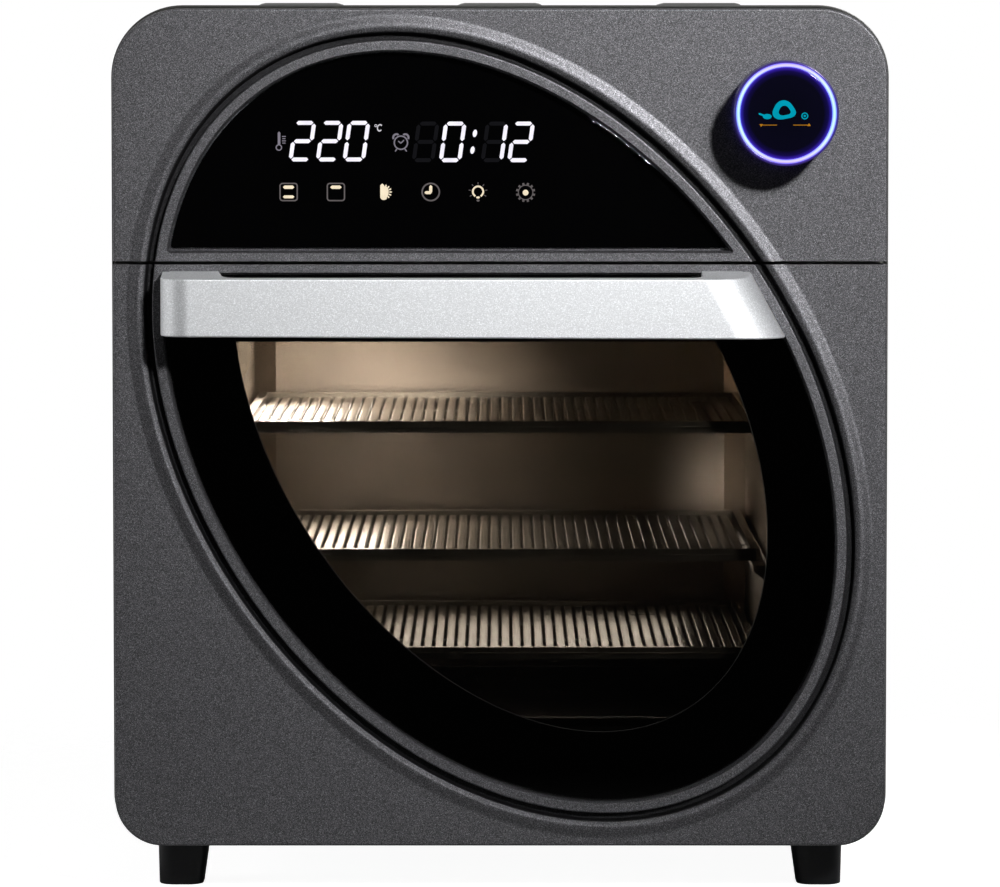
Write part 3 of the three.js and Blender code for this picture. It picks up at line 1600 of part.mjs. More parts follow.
// Finishes
const finish = (color, roughness, metalness) => ({ color, roughness, metalness });
const charcoal = finish(0x4b4c50, 0.42, 0.55);
const black = finish(0x141416, 0.55, 0);
const steel = finish(0xb9b4ab, 0.35, 0.9);
const dullSteel = finish(0x8d8a84, 0.5, 0.85);
const silver = finish(0xd9dadd, 0.38, 0.6);
const gloss = finish(0x050506, 0.06, 0);
const clear = finish(0xdfe8ea, 0.04, 0);
const board = finish(0x1d5b38, 0.6, 0);
const lit = finish(0xc9b8ff, 0.4, 0);
const rubber = finish(0x202022, 0.85, 0);

const rearFeet = bodyDepth - footRearSetback - footLength;
const pieces = [
  ['housing_shell', housingShell(), charcoal],
  ['base_plate', basePlate(), dullSteel],
  ['rear_cover', rearCover(), charcoal],
  ['foot_front_left', foot(-1, footSetback), black],
  ['foot_front_right', foot(1, footSetback), black],
  ['foot_rear_left', foot(-1, rearFeet), black],
  ['foot_rear_right', foot(1, rearFeet), black],
  ['front_frame', frontFrame(), dullSteel],
  ['cavity_left_wall', cavityLeftWall(), steel],
  ['cavity_right_wall', cavitySideWall(1), steel],
  ['cavity_rear_wall', cavityRearWall(), steel],
  ['cavity_ceiling', cavityCeiling(), steel],
  ['cavity_floor', cavityFloor(), steel],
  ['fan_housing', fanHousing(), dullSteel],
  ['fan_guard', fanGuard(), steel],
  ['fan_blade', fanBlade(), steel],
  ['cooling_fan', coolingFan(), black],
  ['motor_shaft', motorShaft(), steel],
  ['motor_bracket', motorBracket(), dullSteel],
  ['fan_motor', fanMotor(), dullSteel],
  ['heating_element_upper', upperElement(), steel],
  ['heating_element_lower', lowerElement(), steel],
  ['lamp_lens', lampLens(), clear],
  ['lamp_holder', lampHolder(), dullSteel],
  ['lamp_bulb', lampBulb(), clear],
  ['temperature_probe', temperatureProbe(), steel],
  ['thermal_cutout', thermalCutout(), black],
  ['door_seal', doorSeal(), rubber],
  ['magnetic_catch', magneticCatch(), black],
  ['reed_switch', reedSwitch(), black],
  ['cable_gland', cableGland(), black],
  ['control_fascia', controlFascia(), charcoal],
  ['control_glass', controlGlass(), gloss],
  ['led_display', ledDisplay(), black],
  ['display_board', displayBoard(), board],
  ['power_board', powerBoard(), board],
  ['encoder_body', encoderBody(), black],
  ['knob_ring', knobRing(), charcoal],
  ['knob_core', knobCore(), black],
  ['knob_lens', knobLens(), gloss],
  ['knob_light_ring', knobLightRing(), lit],
  ['door_frame', doorFrame(), charcoal],
  ['door_glass_outer', doorGlassOuter(), gloss],
  ['door_inner_panel', doorInnerPanel(), dullSteel],
  ['door_glass_inner', doorGlassInner(), clear],
  ['door_handle', doorHandle(), silver],
  ['strike_plate', strikePlate(), steel],
  ['drip_tray', dripTray(), dullSteel],
  ...Object.entries(rackLevels).map(([name, level]) => [name, rack(level), steel]),
  ...[['left', -1], ['right', 1]].flatMap(([name, side]) => [
    [`hinge_bracket_${name}`, hingeBracket(side), dullSteel],
    [`hinge_pin_${name}`, hingePin(side), steel],
    [`hinge_knuckle_${name}`, hingeKnuckle(side), dullSteel],
  ]),
];

const oven = new THREE.Group();
for (const [name, solid, look] of pieces) {
  const mesh = new THREE.Mesh(geometryOf(solid), new THREE.MeshStandardMaterial(look));
  mesh.name = name;
  oven.add(mesh);
}

// The origin is under the middle of the whole oven, handle and cable gland included.
const rearReach = bodyDepth + fitGap + glandFlange;
oven.position.y = (handleReach - rearReach) / 2;

export default oven;
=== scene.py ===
import json
import math

import bmesh
import bpy
from mathutils import Matrix, Vector

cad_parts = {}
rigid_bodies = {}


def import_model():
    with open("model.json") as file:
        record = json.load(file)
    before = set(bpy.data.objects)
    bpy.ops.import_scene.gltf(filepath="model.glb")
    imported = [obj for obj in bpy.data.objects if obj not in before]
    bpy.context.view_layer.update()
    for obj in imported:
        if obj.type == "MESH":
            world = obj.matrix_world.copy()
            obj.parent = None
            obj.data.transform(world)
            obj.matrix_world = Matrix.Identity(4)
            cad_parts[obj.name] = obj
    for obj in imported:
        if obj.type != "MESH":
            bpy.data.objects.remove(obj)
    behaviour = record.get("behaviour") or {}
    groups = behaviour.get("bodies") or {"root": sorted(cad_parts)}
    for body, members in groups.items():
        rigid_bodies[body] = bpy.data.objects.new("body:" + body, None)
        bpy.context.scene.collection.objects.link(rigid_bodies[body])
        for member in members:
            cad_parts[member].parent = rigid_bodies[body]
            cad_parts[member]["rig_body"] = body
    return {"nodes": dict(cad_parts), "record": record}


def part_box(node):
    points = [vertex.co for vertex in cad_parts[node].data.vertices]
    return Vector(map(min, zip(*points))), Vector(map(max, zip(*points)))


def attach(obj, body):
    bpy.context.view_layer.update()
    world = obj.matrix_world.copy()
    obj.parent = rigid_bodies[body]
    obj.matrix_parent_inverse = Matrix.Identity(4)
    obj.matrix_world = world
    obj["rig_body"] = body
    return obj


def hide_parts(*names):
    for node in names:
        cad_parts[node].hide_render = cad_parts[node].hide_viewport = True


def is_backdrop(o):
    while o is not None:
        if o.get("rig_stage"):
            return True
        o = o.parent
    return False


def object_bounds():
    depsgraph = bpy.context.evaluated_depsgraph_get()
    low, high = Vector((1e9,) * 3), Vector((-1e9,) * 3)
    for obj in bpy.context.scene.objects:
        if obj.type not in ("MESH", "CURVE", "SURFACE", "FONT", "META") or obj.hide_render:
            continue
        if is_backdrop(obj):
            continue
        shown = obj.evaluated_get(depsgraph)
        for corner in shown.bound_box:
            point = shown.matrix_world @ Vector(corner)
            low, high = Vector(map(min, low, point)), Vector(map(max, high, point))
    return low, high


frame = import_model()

CAD_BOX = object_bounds()
NODES = frame["nodes"]
MM = 0.001
FULL_TURN = math.tau
QUARTER_TURN = math.pi / 2
MERGE = 0.004 * MM
CUT_REACH = 10 * MERGE

# Faces of the frame that the pieces are set against
FASCIA_LOW, FASCIA_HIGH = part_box("control_fascia")
DOOR_LOW, DOOR_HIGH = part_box("door_frame")
SHELL_LOW, SHELL_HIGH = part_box("housing_shell")
HANDLE_LOW, HANDLE_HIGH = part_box("door_handle")
KNOB_LOW, KNOB_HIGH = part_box("knob_ring")
CONTROL_GLASS_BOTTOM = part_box("control_glass")[0].z
DOOR_GLASS_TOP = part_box("door_glass_outer")[1].z

# Front mouldings
BEAD_RISE = 1.7 * MM
FACE_Y = FASCIA_LOW.y + BEAD_RISE
PANEL_HALF = FASCIA_HIGH.x
PANEL_TOP = FASCIA_HIGH.z
PANEL_BOTTOM = DOOR_LOW.z
FASCIA_BOTTOM = FASCIA_LOW.z
DOOR_TOP = DOOR_HIGH.z
PANEL_TOP_RADIUS = 30 * MM
PANEL_BOTTOM_RADIUS = 21 * MM
PANEL_DEPTH = 18 * MM
PANEL_FILLET = 1.2 * MM
PANEL_FILLET_STEPS = 5
PANEL_WALL = 1.3 * MM
CROSS_WALL_DEPTH = 14 * MM
HINGE_NOTCH_HALF = 2.3 * MM
HINGE_NOTCH_REACH = 3 * MM
WELL_RADIUS = 12.4 * MM
WELL_STEPS = 48

# Oval surround, from the glass outwards: lip, groove and bead
OVAL_SIDE_MARGIN = 23.17 * MM
OVAL_TOP_MARGIN = 19.89 * MM
OVAL_BOTTOM_MARGIN = 20.69 * MM
OVAL_SHORT_INSET = 19.73 * MM
OVAL_STEPS = 240
REBATE_CLEARANCE = 0.9 * MM
LIP_CHAMFER = 1 * MM
CHAMFER_DEPTH = 1.7 * MM
LIP_WIDTH = 4.2 * MM
LIP_RISE = 1.1 * MM
LIP_ROUND = 0.8 * MM
LIP_STEPS = 4
LIP_CORNER = 1.5 * MM
OPENING_CORNER = 2.2 * MM
CORNER_CLEAR = 6 * MM
CORNER_STEPS = 6
RAIL_SHIFT = 0.15 * MM
GROOVE_WIDTH = 3.7 * MM
GROOVE_DEPTH = 2.2 * MM
GROOVE_ROUND = 0.3 * MM
GROOVE_FLANK = 1 * MM
BEAD_SHOULDER = 1.35 * MM
BEAD_INNER_WIDTH = 2.3 * MM
BEAD_OUTER_WIDTH = 5.6 * MM
BEAD_INNER_STEPS = 6
BEAD_OUTER_STEPS = 14
POCKET_DEPTH = 3.9 * MM
LEDGE_WIDTH = 5 * MM
OVAL_HALF_WIDTH = PANEL_HALF - OVAL_SIDE_MARGIN
OVAL_HALF_HEIGHT = (PANEL_TOP - OVAL_TOP_MARGIN - PANEL_BOTTOM - OVAL_BOTTOM_MARGIN) / 2
OVAL_Z = PANEL_BOTTOM + OVAL_BOTTOM_MARGIN + OVAL_HALF_HEIGHT
OVAL_SHORT = OVAL_HALF_WIDTH - OVAL_SHORT_INSET
OVAL_LONG = math.sqrt(OVAL_HALF_WIDTH ** 2 + OVAL_HALF_HEIGHT ** 2 - OVAL_SHORT ** 2)
OVAL_TILT = math.acos(math.sqrt(
    (OVAL_HALF_WIDTH ** 2 - OVAL_SHORT ** 2) / (OVAL_LONG ** 2 - OVAL_SHORT ** 2)))
LIP_OUTER = REBATE_CLEARANCE + LIP_CHAMFER + LIP_WIDTH
GROOVE_END = LIP_OUTER + GROOVE_WIDTH
BEAD_CREST = GROOVE_END + BEAD_INNER_WIDTH
SURROUND_OUTER = BEAD_CREST + BEAD_OUTER_WIDTH

# Glass, the black print behind it and the window left clear in the door's print
GLASS_SETBACK = 0.6 * MM
GLASS_THICKNESS = 3 * MM
GLASS_EDGE = 0.45 * MM
PANE_GROWTH = 0.4 * MM
PRINT_THICKNESS = 0.16 * MM
PRINT_GAP = 0.05 * MM
PRINT_FRONT = GLASS_SETBACK + GLASS_THICKNESS + PRINT_GAP
WINDOW_X = 0.2 * MM
WINDOW_Z = 210.2 * MM
WINDOW_LONG = 152.1 * MM
WINDOW_SHORT = 98.5 * MM
WINDOW_TILT = math.radians(56.8)
WINDOW_TOP = 243.7 * MM
WINDOW_LINE = 0.35 * MM
WINDOW_LINE_FRONT = PRINT_FRONT - 3 * PRINT_GAP
LIT_DEPTH = PRINT_FRONT - 4 * PRINT_GAP
LIT_THICKNESS = 2 * PRINT_GAP

# Knob, and how it glows from its axis (0) to its rim (1): the ring is lit, and the glow on the lens
# and grip is painted light from the ring
KNOB_X = (KNOB_LOW.x + KNOB_HIGH.x) / 2
KNOB_Z = (KNOB_LOW.z + KNOB_HIGH.z) / 2
KNOB_RADIUS = (KNOB_HIGH.x - KNOB_LOW.x) / 2
RING_STRENGTH = 1.6
# Painted glow: the ring's light spilling onto the black lens near its edge
LENS_PAINTED_GLOW = (
    (0.0, (0.0, 0.0, 0.0)), (0.7, (0.0004, 0.0002, 0.002)), (0.79, (0.003, 0.001, 0.035)),
    (0.84, (0.018, 0.008, 0.2)), (0.87, (0.06, 0.04, 0.5)),
)
RING_GLOW = (
    (0.0, (0.05, 0.03, 0.5)), (0.86, (0.13, 0.1, 0.75)), (0.88, (0.33, 0.5, 1.0)),
    (0.9, (0.5, 0.62, 1.0)), (0.925, (0.3, 0.4, 0.95)), (0.945, (0.07, 0.04, 0.5)),
)
# Painted reflection: the ring's blue light on the black grip round its rim
RIM_PAINTED_GLOW = (
    (0.0, (0.0, 0.0, 0.0)), (0.93, (0.05, 0.03, 0.36)), (0.965, (0.018, 0.01, 0.12)),
    (0.995, (0.004, 0.002, 0.02)),
)
GLOW_BY_HEIGHT = ((0.0, (0.75, 1.0, 1.0)), (0.5, (1.0, 1.0, 1.0)), (0.95, (1.0, 0.62, 1.0)))

# Photograph's frame, one of its pixels on the front face, and the camera that took it
PHOTO_MIDDLE = 500
PX = 0.4393 * MM
PHOTO_FRONT_TOP = 393.5 * MM
CAMERA_DISTANCE = 2600 * MM
CAMERA_HEIGHT = 371.5 * MM
CAMERA_AIM = 199.2 * MM
CAMERA_LENS = 214
SENSOR_WIDTH = 36

# Studio: a key from the upper right, a faint fill, a dark room in front and a white one behind
WORLD_FILL = 0.035
WORLD_DARK = 0.012
ROOM_DARK_END = -0.35
ROOM_WHITE_START = 0.3
KEY_SPREAD = math.radians(21.5)
STUDIO_LIGHTS = {  # place, aim, size and power
    "key_light": ((1.185, -2.418, 1.64), (0.05, -0.144, 0.405), 0.35, 2.3),
    "fill_light": ((-1.3, -1.5, 1.0), (0, -0.144, 0.2), 0.9, 1.0),
    "side_light": ((-1.5, -0.5, 0.45), (-0.12, -0.15, 0.25), 0.5, 3.4),
}

# Lamps in the chamber: place, aim, width and length, spread in degrees, and power
CHAMBER_LAMP_COLOR = (1.0, 0.91, 0.83)
CHAMBER_LAMPS = {
    "upper": ((-0.066, 0.0, 0.262), (-0.08, 0.028, 0.2), (0.06, 0.16), 130, 1.15),
    "middle": ((-0.02, -0.01, 0.1985), (-0.02, -0.009, 0.0), (0.09, 0.2), 105, 0.19),
    "lower": ((0.0, -0.01, 0.1415), (0.0, -0.009, 0.0), (0.10, 0.2), 60, 0.04),
    "upper_rear": ((-0.1, 0.1, 0.25), (-0.09, -0.02, 0.206), (0.04, 0.02), 70, 0.085),
    "middle_rear": ((-0.085, 0.1, 0.192), (-0.06, -0.03, 0.149), (0.06, 0.02), 100, 0.08),
    "corner": ((0.0, -0.06, 0.195), (0.104, 0.1, 0.168), (0.03, 0.03), 16, 0.012),
    "lower_rear": ((0.015, 0.1, 0.136), (0.015, -0.03, 0.105), (0.14, 0.02), 90, 0.02),
}


def at_photo(across, down):
    """Place on the flat front face that shows at this pixel of the photograph."""
    return (across - PHOTO_MIDDLE) * PX, PHOTO_FRONT_TOP - down * PX


def linked(name, data):
    made = bpy.data.objects.new(name, data)
    bpy.context.scene.collection.objects.link(made)
    return made


# Node helpers


def feed(tree, node, sockets):
    """Fills a node's inputs: an output of another node is linked, and a plain value is set."""
    for key, value in sockets.items():
        if isinstance(value, bpy.types.NodeSocket):
            tree.links.new(value, node.inputs[key])
        else:
            node.inputs[key].default_value = value


def add_node(tree, kind, sockets, result=0, **settings):
    """Adds a node and gives back one of its outputs."""
    node = tree.nodes.new("ShaderNode" + kind)
    for key, value in settings.items():
        setattr(node, key, value)
    feed(tree, node, sockets)
    return node.outputs[result] if node.outputs else None


def placed(tree, stretch=(1, 1, 1)):
    coords = add_node(tree, "TexCoord", {}, "Object")
    return add_node(tree, "Mapping", {"Scale": stretch, "Vector": coords})


def noise(tree, vector, per_metre, detail=2.0):
    sockets = {"Scale": per_metre, "Detail": detail, "Vector": vector}
    return add_node(tree, "TexNoise", sockets, "Fac")


def flakes(tree, vector, per_metre):
    cells = add_node(tree, "TexVoronoi", {"Scale": per_metre, "Vector": vector}, "Color")
    return add_node(tree, "SeparateColor", {"Color": cells}, "Red")


def axis_part(tree, vector, axis):
    return add_node(tree, "SeparateXYZ", {"Vector": vector}, axis)


def spread(tree, value, low, high, from_low=0.0, from_high=1.0, **settings):
    sockets = {"From Min": from_low, "From Max": from_high, "To Min": low, "To Max": high,
               "Value": value}
    return add_node(tree, "MapRange", sockets, "Result", **settings)


def length_of(tree, vector):
    return add_node(tree, "VectorMath", {0: vector}, "Value", operation="LENGTH")


def worked_out(tree, operation, *values):
    return add_node(tree, "Math", dict(enumerate(values)), operation=operation)


def graded(tree, value, stops):
    node = tree.nodes.new("ShaderNodeValToRGB")
    ramp = node.color_ramp
    for index, (share, color) in enumerate(stops):
        stop = ramp.elements[index] if index < 2 else ramp.elements.new(share)
        stop.position = share
        stop.color = (*color, 1)
    feed(tree, node, {"Fac": value})
    return node.outputs["Color"]


def toned(tree, value, color, low, high, start=0.3, end=0.7):
    """One colour that goes from a darker to a lighter share of itself."""
    return graded(tree, value, [(start, scaled(color, low)), (end, scaled(color, high))])


def uneven(tree, value, middle, share):
    return spread(tree, value, middle * (1 - share), middle * (1 + share))


def tinted(tree, first, second):
    return add_node(tree, "Mix", {"Factor": 1, "A": first, "B": second}, "Result",
                    data_type="RGBA", blend_type="MULTIPLY")


def bumped(tree, surface, height, strength, depth):
    sockets = {"Strength": strength, "Distance": depth, "Height": height}
    feed(tree, surface, {"Normal": add_node(tree, "Bump", sockets, "Normal")})


def scaled(color, share):
    return tuple(min(1.0, part * share) for part in color)


# Camera and light


def look_at(piece, place, aim):
    piece.location = place
    line = Vector(aim) - Vector(place)
    piece.rotation_euler = line.to_track_quat("-Z", "Y").to_euler()


def add_camera():
    data = bpy.data.cameras.new("photo_camera")
    data.lens = CAMERA_LENS
    data.sensor_width = SENSOR_WIDTH
    camera = linked("photo_camera", data)
    look_at(camera, (0, FACE_Y - CAMERA_DISTANCE, CAMERA_HEIGHT), (0, FACE_Y, CAMERA_AIM))
    bpy.context.scene.camera = camera


def add_area_light(name, place, aim, size, power, color=(1, 1, 1)):
    data = bpy.data.lights.new(name, "AREA")
    data.shape = "DISK"
    data.size = size
    data.energy = power
    data.color = color
    lamp = linked(name, data)
    look_at(lamp, place, aim)
    return lamp


def add_world():
    """The room, for glossy rays alone: white behind the object, and dark in front of it."""
    world = bpy.data.worlds.new("studio")
    world.use_nodes = True
    tree = world.node_tree
    tree.nodes.clear()
    path = tree.nodes.new("ShaderNodeLightPath").outputs
    away = axis_part(tree, add_node(tree, "TexCoord", {}, "Generated"), "Y")
    room = spread(tree, away, WORLD_DARK, 1, ROOM_DARK_END, ROOM_WHITE_START)
    seen = worked_out(tree, "MAXIMUM", path["Is Camera Ray"], path["Is Transmission Ray"])
    level = add_node(tree, "Mix", {"Factor": path["Is Glossy Ray"], "A": WORLD_FILL, "B": room},
                     "Result")
    white = add_node(tree, "Mix", {"Factor": seen, "A": level, "B": 1}, "Result")
    background = add_node(tree, "Background", {"Color": (1, 1, 1, 1), "Strength": white})
    add_node(tree, "OutputWorld", {"Surface": background})
    bpy.context.scene.world = world


def light_scene():
    add_world()
    for name, row in STUDIO_LIGHTS.items():
        lamp = add_area_light(name, *row)
        if name == "key_light":
            lamp.data.spread = KEY_SPREAD
    for level, (place, aim, (width, length), beam, power) in CHAMBER_LAMPS.items():
        lamp = add_area_light("chamber_light_" + level, place, aim, width, power,
                              CHAMBER_LAMP_COLOR)
        lamp.data.shape = "RECTANGLE"
        lamp.data.size_y = length
        lamp.data.spread = math.radians(beam)
        lamp.visible_camera = False


# Materials: each finish is a small node tree on object coordinates

BUMP_DEPTH = 0.02 * MM
GRAIN_BUMP = 0.5
FLAKE_STOPS = ((0.0, -1), (0.78, 0.4), (0.93, 2.2))
FINE_FLAKES = 2.3
FINE_SHARE = 0.8
PAINT_RELIEF = 1.2
PAINT_BUMP = 0.35
PAINT_BUMP_DEPTH = 0.03 * MM
BRUSH_ALONG = 20
BRUSH_ACROSS = 1400
BRUSH_SHARE = 0.14
BLOTCHES = 22
STEEL_TONES = (0.78, 1.1, 0.3, 0.72)
STEEL_GLOSS = (0.75, 1.3)
GLASS_SMEARS = 35
GLASS_IOR = 1.5
GLOSS_SHARE = 0.15
KNOB_CLOUDS = 300
GLOW_CLOUDS = 150
GLOW_UNEVEN = 0.15


def new_finish(name, color, roughness, metallic=0.0):
    made = bpy.data.materials.new(name)
    made.use_nodes = True
    tree = made.node_tree
    surface = tree.nodes["Principled BSDF"]
    feed(tree, surface, {"Base Color": (*color, 1), "Roughness": roughness, "Metallic": metallic})
    return made, tree, surface


def grained_finish(
    name, color, roughness, metallic=0.0, grain=900, tint_share=0.12, rough_share=0.12,
    bump_depth=BUMP_DEPTH, bump_grain=2500, gleam=0.5,
):
    """A plain surface with cloudy colour, uneven gloss and fine relief."""
    made, tree, surface = new_finish(name, color, roughness, metallic)
    vector = placed(tree)
    cloud = noise(tree, vector, grain, 3)
    tint = toned(tree, cloud, color, 1 - tint_share, 1 + tint_share)
    gloss = uneven(tree, noise(tree, vector, grain / 3), roughness, rough_share)
    feed(tree, surface, {"Specular IOR Level": gleam, "Base Color": tint, "Roughness": gloss})
    bumped(tree, surface, noise(tree, vector, bump_grain), GRAIN_BUMP, bump_depth)
    return made


def flaked_paint(name, color, roughness, metallic, flake_share, flake_size, shade=()):
    """Metallic paint: bright and dark flakes under a satin surface; with shade given, painted shade
    darkens it with depth down the groove.
    """
    made, tree, surface = new_finish(name, color, roughness, metallic)
    vector = placed(tree)
    fine = flakes(tree, vector, FINE_FLAKES / flake_size)
    coarse_tint = graded(tree, flakes(tree, vector, 1 / flake_size), [
        (place, scaled(color, 1 + flake_share * share)) for place, share in FLAKE_STOPS
    ])
    paint = tinted(tree, coarse_tint, uneven(tree, fine, 1, flake_share * FINE_SHARE))
    if shade:
        # Painted shade: the paint darkens with depth down the groove, where shade falls
        depth = spread(tree, axis_part(tree, vector, "Y"), 0, 1, FACE_Y - BEAD_RISE,
                       FACE_Y + GROOVE_ROUND)
        paint = tinted(tree, paint, graded(tree, depth, shade))
    gloss = uneven(tree, fine, roughness, GLOSS_SHARE)
    feed(tree, surface, {"Base Color": paint, "Roughness": gloss})
    relief = noise(tree, vector, PAINT_RELIEF / flake_size)
    bumped(tree, surface, relief, PAINT_BUMP, PAINT_BUMP_DEPTH)
    return made


def brushed_steel(name, color, roughness, along, strength=0.25):
    """Sheet steel with fine brush lines and blotches of heat tint."""
    made, tree, surface = new_finish(name, color, roughness, 1.0)
    brush = tuple(BRUSH_ALONG if axis == along else BRUSH_ACROSS for axis in "xyz")
    lines = noise(tree, placed(tree, brush), 1.0)
    blotch = noise(tree, placed(tree), BLOTCHES, 4)
    tint = toned(tree, blotch, color, *STEEL_TONES)
    gloss = spread(tree, blotch, *(roughness * share for share in STEEL_GLOSS))
    paint = tinted(tree, tint, uneven(tree, lines, 1, BRUSH_SHARE))
    feed(tree, surface, {"Base Color": paint, "Roughness": gloss})
    bumped(tree, surface, lines, strength, BUMP_DEPTH)
    return made


def pane_glass(name, tint, smear=0.02):
    """Clear or smoked glass: see-through, with a mirror gloss that grows at a slant.

    The gloss is on the outer side of each face alone, because a slanted ray inside the pane
    would be mirrored back and forth.
    """
    made = bpy.data.materials.new(name)
    made.use_nodes = True
    tree = made.node_tree
    tree.nodes.clear()
    smears = spread(tree, noise(tree, placed(tree), GLASS_SMEARS, 3), 0, smear)
    outer = spread(tree, add_node(tree, "NewGeometry", {}, "Backfacing"), 1, 0)
    slant = add_node(tree, "Fresnel", {"IOR": GLASS_IOR})
    blend = add_node(tree, "MixShader", {
        "Fac": worked_out(tree, "MULTIPLY", slant, outer),
        1: add_node(tree, "BsdfTransparent", {"Color": (*tint, 1)}),
        2: add_node(tree, "BsdfGlossy", {"Roughness": smears}),
    })
    add_node(tree, "OutputMaterial", {"Surface": blend})
    return made


def glowing(name, color, strength):
    """A lit surface, a little uneven as a lamp behind a diffuser is."""
    made, tree, surface = new_finish(name, (0, 0, 0), 0.5)
    cloud = noise(tree, placed(tree), GLOW_CLOUDS)
    tint = toned(tree, cloud, color, 1 - GLOW_UNEVEN, 1)
    feed(tree, surface, {"Emission Color": tint, "Emission Strength": strength,
                         "Specular IOR Level": 0})
    return made


def lit_round(name, color, roughness, glow):
    """A dark surface of the knob, with a glow that depends on the distance from its axis: the lit
    ring's own light, and on the lens and grip a painted glow of that light.
    """
    made, tree, surface = new_finish(name, color, roughness)
    centred = add_node(tree, "Mapping", {
        "Location": (-KNOB_X, 0, -KNOB_Z), "Scale": (1, 0, 1),
        "Vector": add_node(tree, "TexCoord", {}, "Object"),
    })
    out = spread(tree, length_of(tree, centred), 0, 1, 0, KNOB_RADIUS)
    # The lamps behind the ring are bluer above and below
    upright = worked_out(tree, "ABSOLUTE", axis_part(tree, centred, "Z"))
    height = spread(tree, upright, 0, 1, 0, KNOB_RADIUS)
    glow = tinted(tree, graded(tree, out, glow), graded(tree, height, GLOW_BY_HEIGHT))
    gloss = uneven(tree, noise(tree, placed(tree), KNOB_CLOUDS), roughness, GLOSS_SHARE)
    feed(tree, surface, {"Emission Color": glow, "Emission Strength": RING_STRENGTH,
                         "Roughness": gloss})
    return made


CHARCOAL = ((0.108, 0.107, 0.114), 0.55, 0.95, 0.6, 0.24 * MM)
CHAMBER = ((0.6, 0.53, 0.46), 0.42)
# Painted shade down the groove: share of the paint's colour from the bead's crest (0) to below the
# face (1)
GROOVE_SHADE = ((0.02, (1, 1, 1)), (0.2, (0.5, 0.5, 0.5)), (0.8, (0.2, 0.2, 0.2)))


def make_finishes():
    made = {
        "housing_paint": grained_finish(
            "dark_powder_coat", (0.022, 0.022, 0.02), 0.38, 0.0, 700, 0.15, 0.15,
            0.05 * MM, 1300),
        "front_moulding": flaked_paint("charcoal_metallic", *CHARCOAL),
        # The same paint with painted shade that darkens down the groove
        "groove_shade": flaked_paint("charcoal_groove_painted_shade", *CHARCOAL, GROOVE_SHADE),
        "handle_silver": flaked_paint(
            "silver_metallic", (0.68, 0.69, 0.705), 0.6, 0.97, 0.12, 0.3 * MM),
        "plain_steel": brushed_steel("galvanised_steel", (0.46, 0.45, 0.43), 0.34, "x"),
        "chamber_steel": brushed_steel("brushed_chamber_steel", *CHAMBER, "z"),
        "chamber_sides": brushed_steel("brushed_side_steel", *CHAMBER, "y"),
        "element_steel": brushed_steel("heater_tube_steel", (0.2, 0.17, 0.15), 0.42, "y"),
        "pin_steel": brushed_steel("pin_steel", (0.62, 0.62, 0.62), 0.22, "x"),
        "rack_chrome": brushed_steel("rack_chrome", (0.44, 0.41, 0.36), 0.3, "y", 0.12),
        "tray_enamel": grained_finish(
            "black_enamel", (0.018, 0.017, 0.017), 0.22, 0.0, 500, 0.3, 0.3, bump_grain=900),
        "control_glass": pane_glass("control_glass", (0.95, 0.95, 0.96)),
        "door_glass": pane_glass("smoked_door_glass", (0.5, 0.49, 0.48)),
        "inner_glass": pane_glass("inner_door_glass", (0.93, 0.93, 0.91)),
        "lamp_glass": pane_glass("lamp_glass", (0.97, 0.93, 0.82), 0.12),
        # The grip carries a painted reflection of the ring's light round its rim
        "knob_metal": lit_round("knob_black_gloss_painted_glow", (0.012, 0.011, 0.016), 0.22, RIM_PAINTED_GLOW),
        # The lens carries a painted glow of the ring's light near its edge
        "knob_lens": lit_round("black_lens_painted_glow", (0.0012, 0.0012, 0.004), 0.1, LENS_PAINTED_GLOW),
        "ring_light": lit_round("ring_light", (0.02, 0.02, 0.05), 0.4, RING_GLOW),
        "lens_light": glowing("lamp_lens_light", (1.0, 0.78, 0.57), 1.45),
        "foot_rubber": grained_finish(
            "foot_plastic", (0.006, 0.006, 0.007), 0.36, 0.0, 800, 0.2, 0.2, 0.05 * MM, 1100,
            gleam=0.3),
        "circuit_board": grained_finish(
            "green_circuit_board", (0.02, 0.14, 0.06), 0.4, 0.0, 260, 0.3),
        "glass_print": grained_finish(
            "black_glass_print", (0.0006, 0.0006, 0.0007), 0.6, 0.0, 60, gleam=0.0),
    }
    for slot, name, color, roughness, grain in (
        ("ground_edge", "ground_glass_edge", (0.3, 0.3, 0.31), 0.4, 700),
        ("display_plastic", "display_plastic", (0.01, 0.01, 0.011), 0.4, 300),
        ("inner_plastic", "black_inner_plastic", (0.012, 0.012, 0.013), 0.45, 900),
        ("seal_rubber", "seal_rubber", (0.014, 0.014, 0.015), 0.6, 1200),
        ("window_line", "window_line_print", (0.022, 0.022, 0.022), 0.5, 60),
    ):
        made[slot] = grained_finish(name, color, roughness, grain=grain)
    for slot, color, strength in (
        ("digit_light", (0.93, 0.9, 1.0), 1.25), ("icon_light", (1.0, 0.86, 0.62), 1.1),
        ("icon_white", (0.95, 0.92, 0.98), 0.8), ("sign_light", (0.5, 0.46, 0.55), 0.5),
        ("ghost_light", (0.5, 0.5, 0.6), 0.016), ("dim_light", (0.45, 0.4, 0.4), 0.32),
        ("cyan_light", (0.0, 0.36, 0.5), 1.0), ("orange_light", (0.5, 0.2, 0.01), 1.0),
        ("bulb_light", (1.0, 0.86, 0.6), 0.9),
    ):
        made[slot] = glowing(slot, color, strength)
    return made


FINISH = make_finishes()


# Mesh helpers


def to_mesh(shape, name):
    mesh = bpy.data.meshes.new(name)
    shape.to_mesh(mesh)
    shape.free()
    return mesh


def add_shape(shape, part):
    """Takes another shape into this one."""
    mesh = to_mesh(part, "part")
    shape.from_mesh(mesh)
    bpy.data.meshes.remove(mesh)


def close_doubles(shape):
    bmesh.ops.remove_doubles(shape, verts=shape.verts, dist=MERGE)


